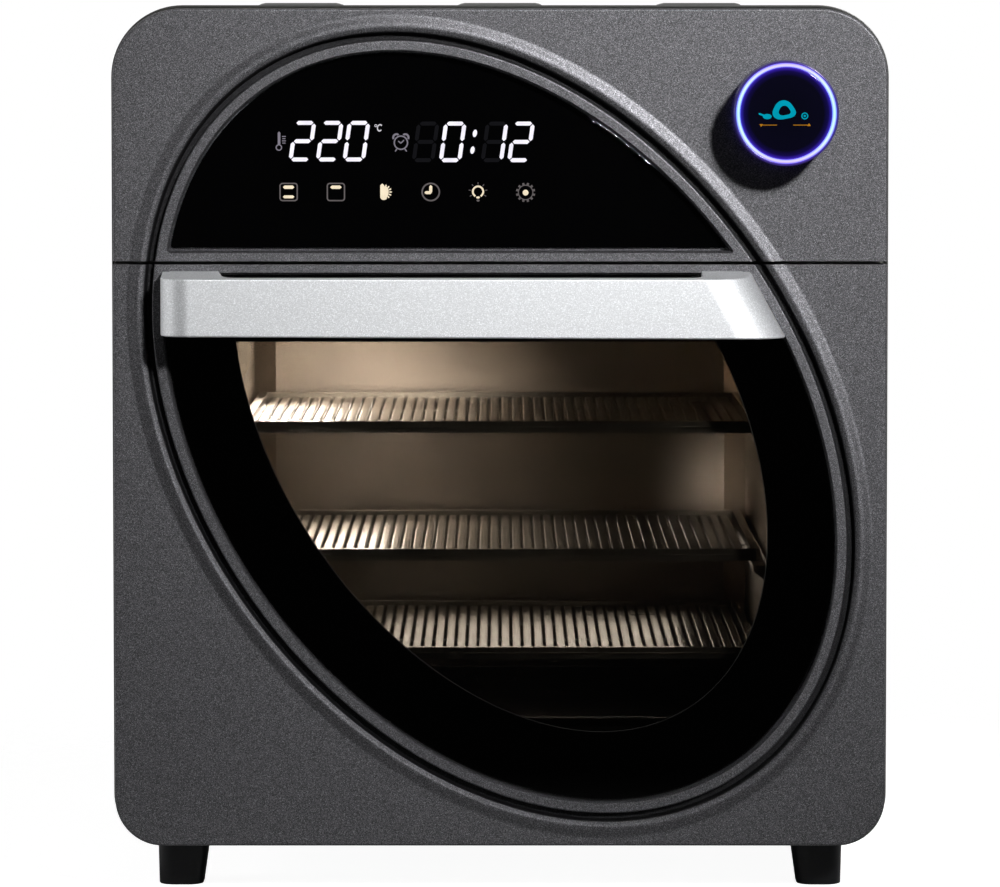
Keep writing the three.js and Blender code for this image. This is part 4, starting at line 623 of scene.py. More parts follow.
def turn_outward(shape):
    bmesh.ops.recalc_face_normals(shape, faces=shape.faces)


def shift(shape, *vector):
    bmesh.ops.translate(shape, vec=vector, verts=shape.verts)


def finish_piece(name, shape, body, slot, stands_for=(), turn_out=True, **look):
    """Closes a shape's doubles, makes it an object and hangs it on its body."""
    close_doubles(shape)
    if turn_out:
        turn_outward(shape)
    return dress_mesh(name, to_mesh(shape, name), body, slot, stands_for, **look)


def dress_mesh(name, mesh, body, slot, stands_for=(), finish=None, crease=32, weighted=True):
    mesh.shade_smooth()
    mesh.set_sharp_from_angle(angle=math.radians(crease))
    mesh.materials.clear()
    mesh.materials.append(FINISH[finish or slot])
    piece = linked(name, mesh)
    if weighted:
        piece.modifiers.new("weights", "WEIGHTED_NORMAL").keep_sharp = True
    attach(piece, body)
    if stands_for:
        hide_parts(*stands_for)
    return piece


def applied(shape, name, *changes):
    """Runs modifiers on a shape and gives back the changed mesh."""
    close_doubles(shape)
    turn_outward(shape)
    holder = linked(name + "_draft", to_mesh(shape, name))
    for kind, settings in changes:
        change = holder.modifiers.new(kind.lower(), kind)
        for key, value in settings.items():
            setattr(change, key, value)
    bpy.context.view_layer.update()
    graph = bpy.context.evaluated_depsgraph_get()
    made = bpy.data.meshes.new_from_object(holder.evaluated_get(graph))
    made.name = name
    drop(holder)
    return made


def drop(holder):
    mesh = holder.data
    bpy.data.objects.remove(holder)
    bpy.data.meshes.remove(mesh)


def bevel(shape, parts, width, segments, affect="VERTICES", material=-1, **more):
    """Rounds corners or edges, and gives back the new vertices."""
    return bmesh.ops.bevel(
        shape, geom=parts, offset=width, offset_type="OFFSET", segments=segments, profile=0.5,
        affect=affect, material=material, **more)["verts"]


def remove(shape, faces, context="FACES_ONLY"):
    bmesh.ops.delete(shape, geom=faces, context=context)


def fill_flat(shape, edges):
    bmesh.ops.triangle_fill(shape, use_beauty=True, use_dissolve=False, edges=edges,
                            normal=(0, -1, 0))


def unit_square(shape):
    return bmesh.ops.create_grid(shape, x_segments=1, y_segments=1, size=1)["verts"]


def largest(faces):
    return max(faces, key=lambda face: face.calc_area())


def add_box(shape, low, high):
    low, high = Vector(low), Vector(high)
    matrix = Matrix.Translation((low + high) / 2) @ Matrix.Diagonal((*(high - low), 1))
    return bmesh.ops.create_cube(shape, size=1, matrix=matrix)["verts"]


def round_edges(shape, width, segments=2, verts=None, angle=30):
    """Bevels the sharp edges of a shape, or of some of its vertices."""
    chosen = set(verts or shape.verts)
    edges = [
        edge for edge in shape.edges
        if all(vert in chosen for vert in edge.verts) and len(edge.link_faces) == 2
        and edge.calc_face_angle(0) > math.radians(angle)
    ]
    if edges:
        bevel(shape, edges, width, segments, "EDGES", clamp_overlap=True)


def rounded_box(shape, low, high, width):
    verts = add_box(shape, low, high)
    bmesh.ops.recalc_face_normals(
        shape, faces=list({face for vert in verts for face in vert.link_faces}))
    round_edges(shape, width, verts=verts)


def spin(shape, verts, edges, steps, angle=FULL_TURN, axis=(0, 1, 0)):
    bmesh.ops.spin(shape, geom=verts + edges, cent=(0, 0, 0), axis=axis, dvec=(0, 0, 0),
                   angle=angle, steps=steps, use_merge=angle >= FULL_TURN, use_duplicate=False)


def spun_line(profile, closed=False):
    """A profile's vertices and edges, ready to be spun: (radius, depth) in X and Y."""
    shape = bmesh.new()
    verts = [shape.verts.new((radius, depth, 0)) for radius, depth in profile]
    pairs = list(zip(verts, verts[1:])) + ([(verts[-1], verts[0])] if closed else [])
    return shape, verts, [shape.edges.new(pair) for pair in pairs]


def spun(profile, steps, place, closed=False):
    """A turned shape: its profile turns about +Y and is placed."""
    shape, verts, edges = spun_line(profile, closed)
    spin(shape, verts, edges, steps)
    close_doubles(shape)
    shift(shape, *place)
    return shape


def extrude(shape, faces, vector, keep=True):
    """Draws faces out along a vector and gives back the moved faces."""
    made = bmesh.ops.extrude_face_region(shape, geom=faces)["geom"]
    verts = [part for part in made if isinstance(part, bmesh.types.BMVert)]
    bmesh.ops.translate(shape, vec=vector, verts=verts)
    left = [face for face in faces if face.is_valid]
    if left and not keep:
        remove(shape, left)
    return [part for part in made if isinstance(part, bmesh.types.BMFace)]


def thicken(shape, depth):
    extrude(shape, shape.faces[:], (0, depth, 0))


def cut_inside(shape, face, width):
    """Leaves a border of a face and opens the rest."""
    bmesh.ops.inset_region(shape, faces=[face], thickness=width, use_even_offset=True,
                           use_boundary=True)
    remove(shape, [face], "FACES")


def keep_side(shape, height, upper):
    """Cuts a shape level at a height and keeps the part above or below."""
    bmesh.ops.bisect_plane(
        shape, geom=shape.verts[:] + shape.edges[:] + shape.faces[:], dist=MERGE,
        plane_co=(0, 0, height), plane_no=(0, 0, 1), clear_inner=upper, clear_outer=not upper)


def face_viewer(shape):
    for face in shape.faces:
        face.normal_update()
        if face.normal.y > 0:
            face.normal_flip()


def round_plate(shape, half, low, high, low_radius, high_radius, steps=16):
    """A flat rounded rectangle that faces the viewer, in the plane of the front face."""
    tops, bottoms = [], []
    for vert in unit_square(shape):
        (tops if vert.co.y > 0 else bottoms).append(vert)
        vert.co = (math.copysign(half, vert.co.x), FACE_Y, high if vert.co.y > 0 else low)
    bevel(shape, tops, high_radius, steps)
    bevel(shape, bottoms, low_radius, steps)
    face = largest(shape.faces)
    if face.normal.y > 0:
        face.normal_flip()
    return face


def eased(start, end, level_start, level_end, steps):
    """A run of points that eases from one level to another like half a wave."""
    return [
        (
            start + (end - start) * step / steps,
            level_start + (level_end - level_start) * (1 - math.cos(math.pi * step / steps)) / 2,
        )
        for step in range(1, steps + 1)
    ]


def arc_points(middle, radius, start, end, steps=5):
    turns = [start + (end - start) * step / steps for step in range(steps + 1)]
    return [(middle[0] + radius * math.cos(turn), middle[1] + radius * math.sin(turn))
            for turn in turns]


# Oval


def on_ellipse(turn, offset, long_half, short_half, tilt, middle_x, middle_z):
    normal = Vector((short_half * math.cos(turn), long_half * math.sin(turn))).normalized()
    along = long_half * math.cos(turn) + normal.x * offset
    across = short_half * math.sin(turn) + normal.y * offset
    return (
        middle_x + along * math.cos(tilt) + across * math.sin(tilt),
        middle_z + across * math.cos(tilt) - along * math.sin(tilt),
    )


def on_oval(turn, offset):
    return on_ellipse(turn, offset, OVAL_LONG, OVAL_SHORT, OVAL_TILT, 0, OVAL_Z)


def on_window(turn, offset):
    return on_ellipse(turn, offset, WINDOW_LONG, WINDOW_SHORT, WINDOW_TILT, WINDOW_X, WINDOW_Z)


def loop_on(shape, place_on, offset):
    verts = []
    for step in range(OVAL_STEPS):
        x, z = place_on(FULL_TURN * step / OVAL_STEPS, offset)
        verts.append(shape.verts.new((x, FACE_Y, z)))
    return [shape.edges.new(pair) for pair in zip(verts, verts[1:] + verts[:1])]


def oval_disc(place_on, offset, depth):
    """A flat disc laid on the oval or on the window, facing the viewer."""
    shape = bmesh.new()
    bmesh.ops.create_circle(shape, cap_ends=True, segments=OVAL_STEPS, radius=1)
    bmesh.ops.rotate(shape, matrix=Matrix.Rotation(QUARTER_TURN, 3, "X"), verts=shape.verts)
    for vert in shape.verts:
        x, z = place_on(math.atan2(vert.co.z, vert.co.x), offset)
        vert.co = (x, FACE_Y + depth, z)
    face_viewer(shape)
    return shape


def split_corners(shape, height):
    """The two corners where the oval meets its straight cut."""
    level = [vert for vert in shape.verts if abs(vert.co.z - height) < CUT_REACH]
    return [min(level, key=lambda vert: vert.co.x), max(level, key=lambda vert: vert.co.x)]


def half_oval(offset, depth, height, upper, corner=LIP_CORNER):
    """The oval cut straight at a height, with its two corners rounded."""
    shape = oval_disc(on_oval, offset, depth)
    keep_side(shape, height, upper)
    face_viewer(shape)
    corners = split_corners(shape, height)
    near = [vert for vert in shape.verts if vert not in corners
            and min((vert.co - end.co).length for end in corners) < CORNER_CLEAR]
    bmesh.ops.dissolve_verts(shape, verts=near)
    bevel(shape, split_corners(shape, height), corner, CORNER_STEPS)
    return shape


# Front mouldings: flat face, surround and lips


def surround_section():
    """Distance out from the glass and depth, from the lip's outer edge to the flat face."""
    rounding = arc_points((LIP_OUTER - LIP_ROUND, LIP_ROUND - LIP_RISE), LIP_ROUND,
                          -QUARTER_TURN, 0, LIP_STEPS)
    groove = [
        (LIP_OUTER + GROOVE_ROUND / 2, GROOVE_DEPTH - GROOVE_ROUND),
        (LIP_OUTER + GROOVE_ROUND, GROOVE_DEPTH),
        (GROOVE_END - GROOVE_FLANK - GROOVE_ROUND, GROOVE_DEPTH),
        (GROOVE_END - GROOVE_FLANK, GROOVE_DEPTH - GROOVE_ROUND),
    ]
    shoulder = [
        (GROOVE_END - GROOVE_ROUND, 2 * GROOVE_ROUND - BEAD_SHOULDER),
        (GROOVE_END, GROOVE_ROUND / 2 - BEAD_SHOULDER), (GROOVE_END + GROOVE_ROUND, -BEAD_SHOULDER),
    ]
    return (
        rounding + groove + shoulder
        + eased(GROOVE_END + 2 * GROOVE_ROUND, BEAD_CREST, -BEAD_SHOULDER - BEAD_RISE / 20,
                -BEAD_RISE, BEAD_INNER_STEPS)
        + eased(BEAD_CREST, SURROUND_OUTER, -BEAD_RISE, 0, BEAD_OUTER_STEPS)
    )


def surround_ring():
    """The section spun into a ring, its groove marked, which is then laid round the oval."""
    section = [(1 + offset, depth) for offset, depth in surround_section()]
    shape, verts, edges = spun_line(section)
    spin(shape, verts, edges, OVAL_STEPS)
    # Groove faces are marked for the paint with painted shade
    mark = shape.faces.layers.int.new("groove")
    for face in shape.faces:
        middle = face.calc_center_median()
        offset = math.hypot(middle.x, middle.z) - 1
        face[mark] = int(LIP_OUTER - GROOVE_ROUND / 3 < offset < BEAD_CREST)
    for vert in shape.verts:
        offset = math.hypot(vert.co.x, vert.co.z) - 1
        x, z = on_oval(math.atan2(vert.co.z, vert.co.x), offset)
        vert.co = (x, FACE_Y + vert.co.y, z)
    return shape


def lip_plate(height, upper, keep_floor):
    """Lip round one pane: flat top, chamfer and the rebate that the glass sits in."""
    shape = oval_disc(on_oval, LIP_OUTER - LIP_ROUND, -LIP_RISE)
    keep_side(shape, height, upper)
    remove(shape, shape.faces[:])
    rail = (LIP_WIDTH - LIP_ROUND + RAIL_SHIFT) * (1 if upper else -1)
    add_shape(shape, half_oval(REBATE_CLEARANCE + LIP_CHAMFER, -LIP_RISE, height + rail, upper,
                               OPENING_CORNER))
    fill_flat(shape, shape.edges[:])
    inner = largest(shape.faces)
    bmesh.ops.inset_region(shape, faces=[inner], thickness=LIP_CHAMFER, depth=-CHAMFER_DEPTH,
                           use_even_offset=True)
    floor = extrude(shape, [inner], (0, POCKET_DEPTH, 0), keep=False)[0]
    if not keep_floor:
        bmesh.ops.inset_region(shape, faces=[floor], thickness=LEDGE_WIDTH, use_even_offset=True)
        remove(shape, [floor], "FACES")
    return shape


def front_face():
    """Flat face with its filleted edge and side walls, open for the oval and the knob."""
    shape = bmesh.new()
    face = round_plate(shape, PANEL_HALF, PANEL_BOTTOM, PANEL_TOP, PANEL_BOTTOM_RADIUS,
                       PANEL_TOP_RADIUS)
    backs = extrude(shape, [face], (0, PANEL_DEPTH, 0))
    remove(shape, backs)
    edges = [edge for edge in shape.edges
             if all(vert.co.y < FACE_Y + PANEL_DEPTH / 2 for vert in edge.verts)]
    bevel(shape, edges, PANEL_FILLET, PANEL_FILLET_STEPS, "EDGES")
    flat = largest(face for face in shape.faces
                   if all(abs(vert.co.y - FACE_Y) < MERGE for vert in face.verts))
    border = list(flat.edges)
    remove(shape, [flat])
    hole = loop_on(shape, on_oval, SURROUND_OUTER)
    circle = bmesh.ops.create_circle(
        shape, cap_ends=False, segments=WELL_STEPS, radius=WELL_RADIUS,
        matrix=Matrix.Translation((KNOB_X, FACE_Y, KNOB_Z))
        @ Matrix.Rotation(QUARTER_TURN, 4, "X"))["verts"]
    well = list({edge for vert in circle for edge in vert.link_edges})
    fill_flat(shape, border + hole + well)
    return shape


def hinge_notches(shape):
    """Openings in the lower wall, where the door swings past the arms of its hinges."""
    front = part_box("hinge_pin_right")[0].y - HINGE_NOTCH_REACH
    for bracket in ("hinge_bracket_left", "hinge_bracket_right"):
        low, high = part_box(bracket)
        middle = (low.x + high.x) / 2
        sides = (middle - HINGE_NOTCH_HALF, middle + HINGE_NOTCH_HALF)
        cuts = [((side, 0, 0), (1, 0, 0)) for side in sides] + [((0, front, 0), (0, 1, 0))]
        for place, normal in cuts:
            parts = {part for face in lower_wall(shape)
                     for part in (*face.verts, *face.edges, face)}
            bmesh.ops.bisect_plane(shape, geom=list(parts), dist=MERGE, plane_co=place,
                                   plane_no=normal)
        gone = [face for face in lower_wall(shape)
                if sides[0] < face.calc_center_median().x < sides[1]
                and face.calc_center_median().y > front]
        remove(shape, gone, "FACES")


def lower_wall(shape):
    return [face for face in shape.faces
            if all(vert.co.z < PANEL_BOTTOM + MERGE for vert in face.verts)]


def front_moulding(name, height, upper, body, stands_for):
    """Half of the front moulding: the flat face, the surround and the lip of its pane."""
    shape = bmesh.new()
    add_shape(shape, front_face())
    add_shape(shape, surround_ring())
    close_doubles(shape)
    keep_side(shape, height, upper)
    add_shape(shape, lip_plate(height, upper, upper))
    close_doubles(shape)
    cut = [edge for edge in shape.edges
           if edge.is_boundary and all(
               abs(vert.co.z - height) < CUT_REACH / 2 and vert.co.y < FACE_Y + POCKET_DEPTH
               for vert in edge.verts)]
    for part in bmesh.ops.extrude_edge_only(shape, edges=cut)["geom"]:
        if isinstance(part, bmesh.types.BMVert):
            part.co.y = FACE_Y + CROSS_WALL_DEPTH
    if not upper:
        hinge_notches(shape)
    mesh = applied(shape, name, ("SOLIDIFY", {
        "thickness": PANEL_WALL, "offset": -1, "use_even_offset": False}))
    limit = max if upper else min
    for vert in mesh.vertices:
        vert.co.z = limit(vert.co.z, height)
    dress_mesh(name, mesh, body, "front_moulding", stands_for)
    # The marked groove faces take the paint with painted shade in it
    mesh.materials.append(FINISH["groove_shade"])
    for face, mark in zip(mesh.polygons, mesh.attributes["groove"].data):
        face.material_index = mark.value


def make_front():
    front_moulding("fascia_moulding", FASCIA_BOTTOM, True, "chassis", ["control_fascia"])
    front_moulding("door_moulding", DOOR_TOP, False, "door", ["door_frame"])


# Glass, the black print behind it and the line round the window


def glass_pane(name, height, upper, body, slot, node):
    shape = half_oval(PANE_GROWTH, GLASS_SETBACK, height, upper)
    thicken(shape, GLASS_THICKNESS)
    turn_outward(shape)
    edges = [edge for edge in shape.edges
             if all(vert.co.y < FACE_Y + GLASS_SETBACK + MERGE for vert in edge.verts)]
    bevel(shape, edges, GLASS_EDGE, 2, "EDGES", 1)
    pane = finish_piece(name, shape, body, slot, [node])
    pane.data.materials.append(FINISH["ground_edge"])


def ring_between(*loops):
    """A flat ring between two loops of the same count."""
    shape = bmesh.new()
    edges = [edge for place_on, offset in loops for edge in loop_on(shape, place_on, offset)]
    bmesh.ops.bridge_loops(shape, edges=edges)
    return shape


def printed(name, shape, body, slot, finish, depth):
    face_viewer(shape)
    thicken(shape, depth)
    finish_piece(name, shape, body, slot, finish=finish)


def make_glass():
    glass_pane("control_pane", CONTROL_GLASS_BOTTOM, True, "chassis", "control_glass",
               "control_glass")
    glass_pane("door_pane", DOOR_GLASS_TOP, False, "door", "door_glass", "door_glass_outer")
    behind = half_oval(REBATE_CLEARANCE / 2, PRINT_FRONT, CONTROL_GLASS_BOTTOM, True)
    printed("control_glass_print", behind, "chassis", "control_glass", "glass_print",
            PRINT_THICKNESS)
    # Black border of the door's glass, open where the window is
    border = ring_between((on_oval, 0), (on_window, 0))
    shift(border, 0, PRINT_FRONT, 0)
    keep_side(border, DOOR_GLASS_TOP, False)
    above = oval_disc(on_window, 0, PRINT_FRONT)
    keep_side(above, WINDOW_TOP, True)
    keep_side(above, DOOR_GLASS_TOP, False)
    add_shape(border, above)
    printed("door_glass_print", border, "door", "door_glass", "glass_print", PRINT_THICKNESS)
    line = ring_between((on_window, WINDOW_LINE), (on_window, 0))
    shift(line, 0, WINDOW_LINE_FRONT, 0)
    keep_side(line, DOOR_GLASS_TOP, False)
    printed("window_line", line, "door", "door_glass", "window_line", PRINT_GAP)


# Flat artwork, drawn about zero in X and Z, in pixels of the photograph


def lay(verts, across, down, turn=0.0, slant=0.0, middle=(0, 0)):
    """Turns and slants a drawn form and moves it to its place on the print."""
    left, up = at_photo(across, down)
    for vert in verts:
        x = middle[0] + vert.co.x * math.cos(turn) - vert.co.z * math.sin(turn)
        z = middle[1] + vert.co.x * math.sin(turn) + vert.co.z * math.cos(turn)
        vert.co = (left + (x + slant * z) * PX, FACE_Y + LIT_DEPTH, up + z * PX)


def bar(shape, half_length, half_width, point=0.9):
    """A bar along X, with pointed ends."""
    verts = unit_square(shape)
    for vert in verts:
        vert.co = (vert.co.x * half_length, 0, vert.co.y * half_width)
    return bevel(shape, verts, half_width * point, 1) if point else verts


def disc(shape, half_width, half_height=None, steps=24):
    verts = bmesh.ops.create_circle(shape, cap_ends=True, segments=steps, radius=1)["verts"]
    for vert in verts:
        vert.co = (vert.co.x * half_width, 0, vert.co.y * (half_height or half_width))
    return verts


def ring(shape, radius, stroke, steps=32, start=0, end=360):
    """A flat ring, or an arc of one between two angles in degrees."""
    before = set(shape.verts)
    start, end = math.radians(start), math.radians(end)
    verts = [shape.verts.new((along * math.cos(start), 0, along * math.sin(start)))
             for along in (radius - stroke / 2, radius + stroke / 2)]
    spin(shape, verts, [shape.edges.new(verts)], steps, end - start, (0, -1, 0))
    return [vert for vert in shape.verts if vert not in before]


def frame_line(shape, half, radius, stroke):
    """The outline of a rounded square."""
    before = set(shape.verts)
    verts = unit_square(shape)
    for vert in verts:
        vert.co = (vert.co.x * half, 0, vert.co.y * half)
    bevel(shape, verts, radius, 5)
    made = [vert for vert in shape.verts if vert not in before]
    cut_inside(shape, largest({face for vert in made for face in vert.link_faces}), stroke)
    return [vert for vert in shape.verts if vert not in before]


def rays(count, start, step, reach, sizes, across, down):
    """Rows of bars that point away from a middle, at angles in degrees."""
    turns = [math.radians(start + step * index) for index in range(count)]
    return [(bar, sizes, across + reach * math.cos(turn), down - reach * math.sin(turn), turn)
            for turn in turns]


def draw(shape, column, row, parts):
    """Draws forms: each with its sizes, its place from the middle and its turn."""
    for form, sizes, across, down, *turn in parts:
        lay(form(shape, *sizes), column + across, row + down, *turn)


def lit_piece(name, shape, finish, body="chassis", slot="display_plastic", sink=0.0):
    face_viewer(shape)
    thicken(shape, LIT_THICKNESS)
    shift(shape, 0, sink, 0)
    finish_piece(name, shape, body, slot, finish=finish, weighted=False)


# Display: digits, a row of icons and the signs between the digits

DIGIT_HALF_WIDTH = 9.2
DIGIT_HALF_HEIGHT = 18.2
DIGIT_HALF_STROKE = 2.0
DIGIT_GAP = 0.9
DIGIT_SLANT = 0.14
SEGMENT_PLACES = {
    "a": (0, 1), "b": (1, 0.5), "c": (1, -0.5), "d": (0, -1), "e": (-1, -0.5), "f": (-1, 0.5),
    "g": (0, 0),
}
ZERO, ONE, TWO, EIGHT = "abcdef", "bc", "abged", "abcdefg"
TEMPERATURE_ROW = 141.1
CLOCK_ROW = 141.8
LIT_DIGITS = (
    (303.2, TEMPERATURE_ROW, TWO), (330.4, TEMPERATURE_ROW, TWO), (357.0, TEMPERATURE_ROW, ZERO),
    (452.9, CLOCK_ROW, ZERO), (494.5, CLOCK_ROW, ONE), (521.0, CLOCK_ROW, TWO),
)
UNLIT_DIGITS = ((425.9, CLOCK_ROW, EIGHT), (494.5, CLOCK_ROW, "adefg"))
COLON_DOTS = ((475.0, 133.3), (472.6, 150.0))
COLON_DOT = (2.1, 3.7)

ICON_ROW = 191.7
ICON_COLUMNS = (289.4, 336.5, 384.1, 431.0, 478.1, 525.5)
ICON_BOX = (frame_line, (9.2, 3.2, 1.3), 0, 0)
HEATER_ABOVE = (bar, (5.6, 1.7), 0, -4.8)
HEATER_BELOW = (bar, (5.6, 1.445), 0, 4.8)
DIM_ICONS = (
    [ICON_BOX], [ICON_BOX], [],
    [(ring, (8.6, 1.5), 0, 0)],
    [(bar, (1.7, 1.1), 0, 8.4), *rays(7, -30, 40, 8.2, (1.3, 0.4), 0, -0.4)],
    [(ring, (7.2, 0.9), 0, 0.4), *rays(12, 15, 30, 8.6, (1.0, 1.1, 0), 0, 0.4)],
)
BRIGHT_ICONS = (
    [HEATER_ABOVE, HEATER_BELOW], [HEATER_ABOVE],
    # A thermometer before a sun, a clock, a lamp with rays, and a dot in a toothed ring
    [(disc, (3.4,), 0, 4.6), (bar, (8.0, 2.0), -1.4, -0.4, QUARTER_TURN),
     *rays(7, -75, 25, 6.2, (1.5, 0.7), 0.6, 0), (disc, (3.6, 5.6), 1.4, -0.2)],
    [(bar, (3.9, 1.5), 0, -3.0, QUARTER_TURN), (bar, (3.6, 1.5), -2.6, 0.6)],
    [(ring, (5.2, 1.8, 28, -60, 240), 0, -0.4), (bar, (2.0, 1.0), 0, 5.4)],
    [(disc, (2.9,), 0, 0.6)],
)

THERMOMETER = (280.4, 141.0)
THERMOMETER_PARTS = [
    (bar, (6.8, 1.3), -0.4, -2.6, QUARTER_TURN), (ring, (2.7, 1.1, 20), -0.6, 6.4),
    (bar, (1.9, 0.45, 0), 4.4, -4.6), (bar, (1.6, 0.45, 0), 4.4, -2.4),
    (bar, (1.9, 0.45, 0), 4.4, -0.2), (bar, (1.6, 0.45, 0), 4.4, 2.0),
]
ALARM_CLOCK = (401.3, 142.6)
BELL_START = math.degrees(0.2)
BELL = (3.2, 1.9, 12, BELL_START, 180 - BELL_START)
ALARM_CLOCK_PARTS = [
    (ring, (6.6, 1.3), 0, 0), (ring, BELL, -4.4, -5.2, 0.7), (bar, (1.8, 0.6), -4.8, 7.4, 0.95),
    (ring, BELL, 4.4, -5.2, -0.7), (bar, (1.8, 0.6), 4.8, 7.4, -0.95),
    (bar, (2.6, 0.55), 1.4, -0.9, 0.75), (bar, (1.8, 0.55), -1.4, -0.6, -0.7),
]
DEGREE = (376.4, 125.7)
DEGREE_PARTS = [(ring, (1.1, 0.7, 16), 0, 0)]
UNIT = (380.3, 127.8)
UNIT_ARC = (2.3, 1.0, 20, 40, 320)
UNIT_TALLNESS = 1.35
UNIT_SLANT = 0.1


def digit(shape, across, down, letters):
    for letter in letters:
        x, z = SEGMENT_PLACES[letter]
        length = (DIGIT_HALF_HEIGHT / 2 if x else DIGIT_HALF_WIDTH) - DIGIT_GAP
        lay(bar(shape, length, DIGIT_HALF_STROKE), across, down, QUARTER_TURN if x else 0,
            DIGIT_SLANT, (x * DIGIT_HALF_WIDTH, z * DIGIT_HALF_HEIGHT))


def make_digits():
    lit, unlit = bmesh.new(), bmesh.new()
    for shape, digits in ((lit, LIT_DIGITS), (unlit, UNLIT_DIGITS)):
        for row in digits:
            digit(shape, *row)
    for across, down in COLON_DOTS:
        lay(disc(lit, *COLON_DOT), across, down, slant=DIGIT_SLANT)
    lit_piece("lit_digits", lit, "digit_light")
    lit_piece("unlit_digits", unlit, "ghost_light")


def make_icons():
    for name, icons, finish in (("dim_icons", DIM_ICONS, "dim_light"),
                                ("bright_icons", BRIGHT_ICONS, "icon_light")):
        shape = bmesh.new()
        for column, parts in zip(ICON_COLUMNS, icons):
            draw(shape, column, ICON_ROW, parts)
        lit_piece(name, shape, finish)


def make_signs():
    """The thermometer, the alarm clock and the unit between the digits."""
    grey, white = bmesh.new(), bmesh.new()
    draw(grey, *THERMOMETER, THERMOMETER_PARTS)
    draw(grey, *ALARM_CLOCK, ALARM_CLOCK_PARTS)
    draw(white, *DEGREE, DEGREE_PARTS)
    arc = ring(white, *UNIT_ARC)
    for vert in arc:
        vert.co.z *= UNIT_TALLNESS
    lay(arc, *UNIT, slant=UNIT_SLANT)
    lit_piece("grey_signs", grey, "sign_light")
    lit_piece("unit_sign", white, "icon_white")


# Knob: grip ring, lit ring, black lens with its picture, and the core behind

KNOB_PLACE = (KNOB_X, 0, KNOB_Z)
KNOB_FRONT = KNOB_LOW.y
KNOB_BACK = KNOB_HIGH.y
KNOB_DRAFT = 0.3 * MM
KNOB_EDGE = 0.7 * MM
KNOB_WALL = 1.1 * MM
KNOB_GAP = 0.05 * MM
KNOB_LAND = 0.1 * MM
KNOB_RECESS = 9 * MM
KNOB_HUB = 12 * MM
KNOB_STEPS = 96
KNURL_COUNT = 60
KNURL_DEPTH = 0.18 * MM
LIGHT_OUTER = KNOB_RADIUS - KNOB_DRAFT - KNOB_WALL
LIGHT_WIDTH = 1.65 * MM
LIGHT_SECTION = ((1, 0.4), (0.7, 0), (0.3, 0), (0, 0.4), (0, 3), (1, 3))
LENS_RADIUS = LIGHT_OUTER - LIGHT_WIDTH - 0.1 * MM
LENS_THICKNESS = 1.5 * MM
LENS_EDGE = 0.4 * MM
LENS_DOME = ((0.6, 0.7), (0, 0.6))
CORE_HEAD = 4 * MM
CORE_STEM = 8.5 * MM

PICTURE_MIDDLE = 781.2
PICTURE_SINK = 0.1 * MM
FOOD_ROW = 110.8
ARROW_ROW = 124.4
CHOP_RINGS = ((10.8, 1.2, 48), (8.4, 5.2, 48))
CHOP_WAVES = ((1, -2.5, 0.14), (3, 1.2, 0.1))
CHOP_FLATNESS = 0.8
FOOD_PARTS = [
    (disc, (4.4, 2.6), -17.6, 5.2), (bar, (3.4, 0.9), -23, 3.4, -0.35),
    (ring, (2.9, 1.1, 20), 19.4, 4.6), (disc, (1.2, 1.2, 12), 19.4, 4.6),
]
ARROW_LINE = (8.4, 0.35, 0)
ARROW_HEAD = (2.0, 1.9, 3)
ARROW_PARTS = [
    (bar, ARROW_LINE, -16.4, 0), (disc, ARROW_HEAD, -23.6, 0, math.pi),
    (bar, ARROW_LINE, 16.4, 0), (disc, ARROW_HEAD, 23.6, 0),
]


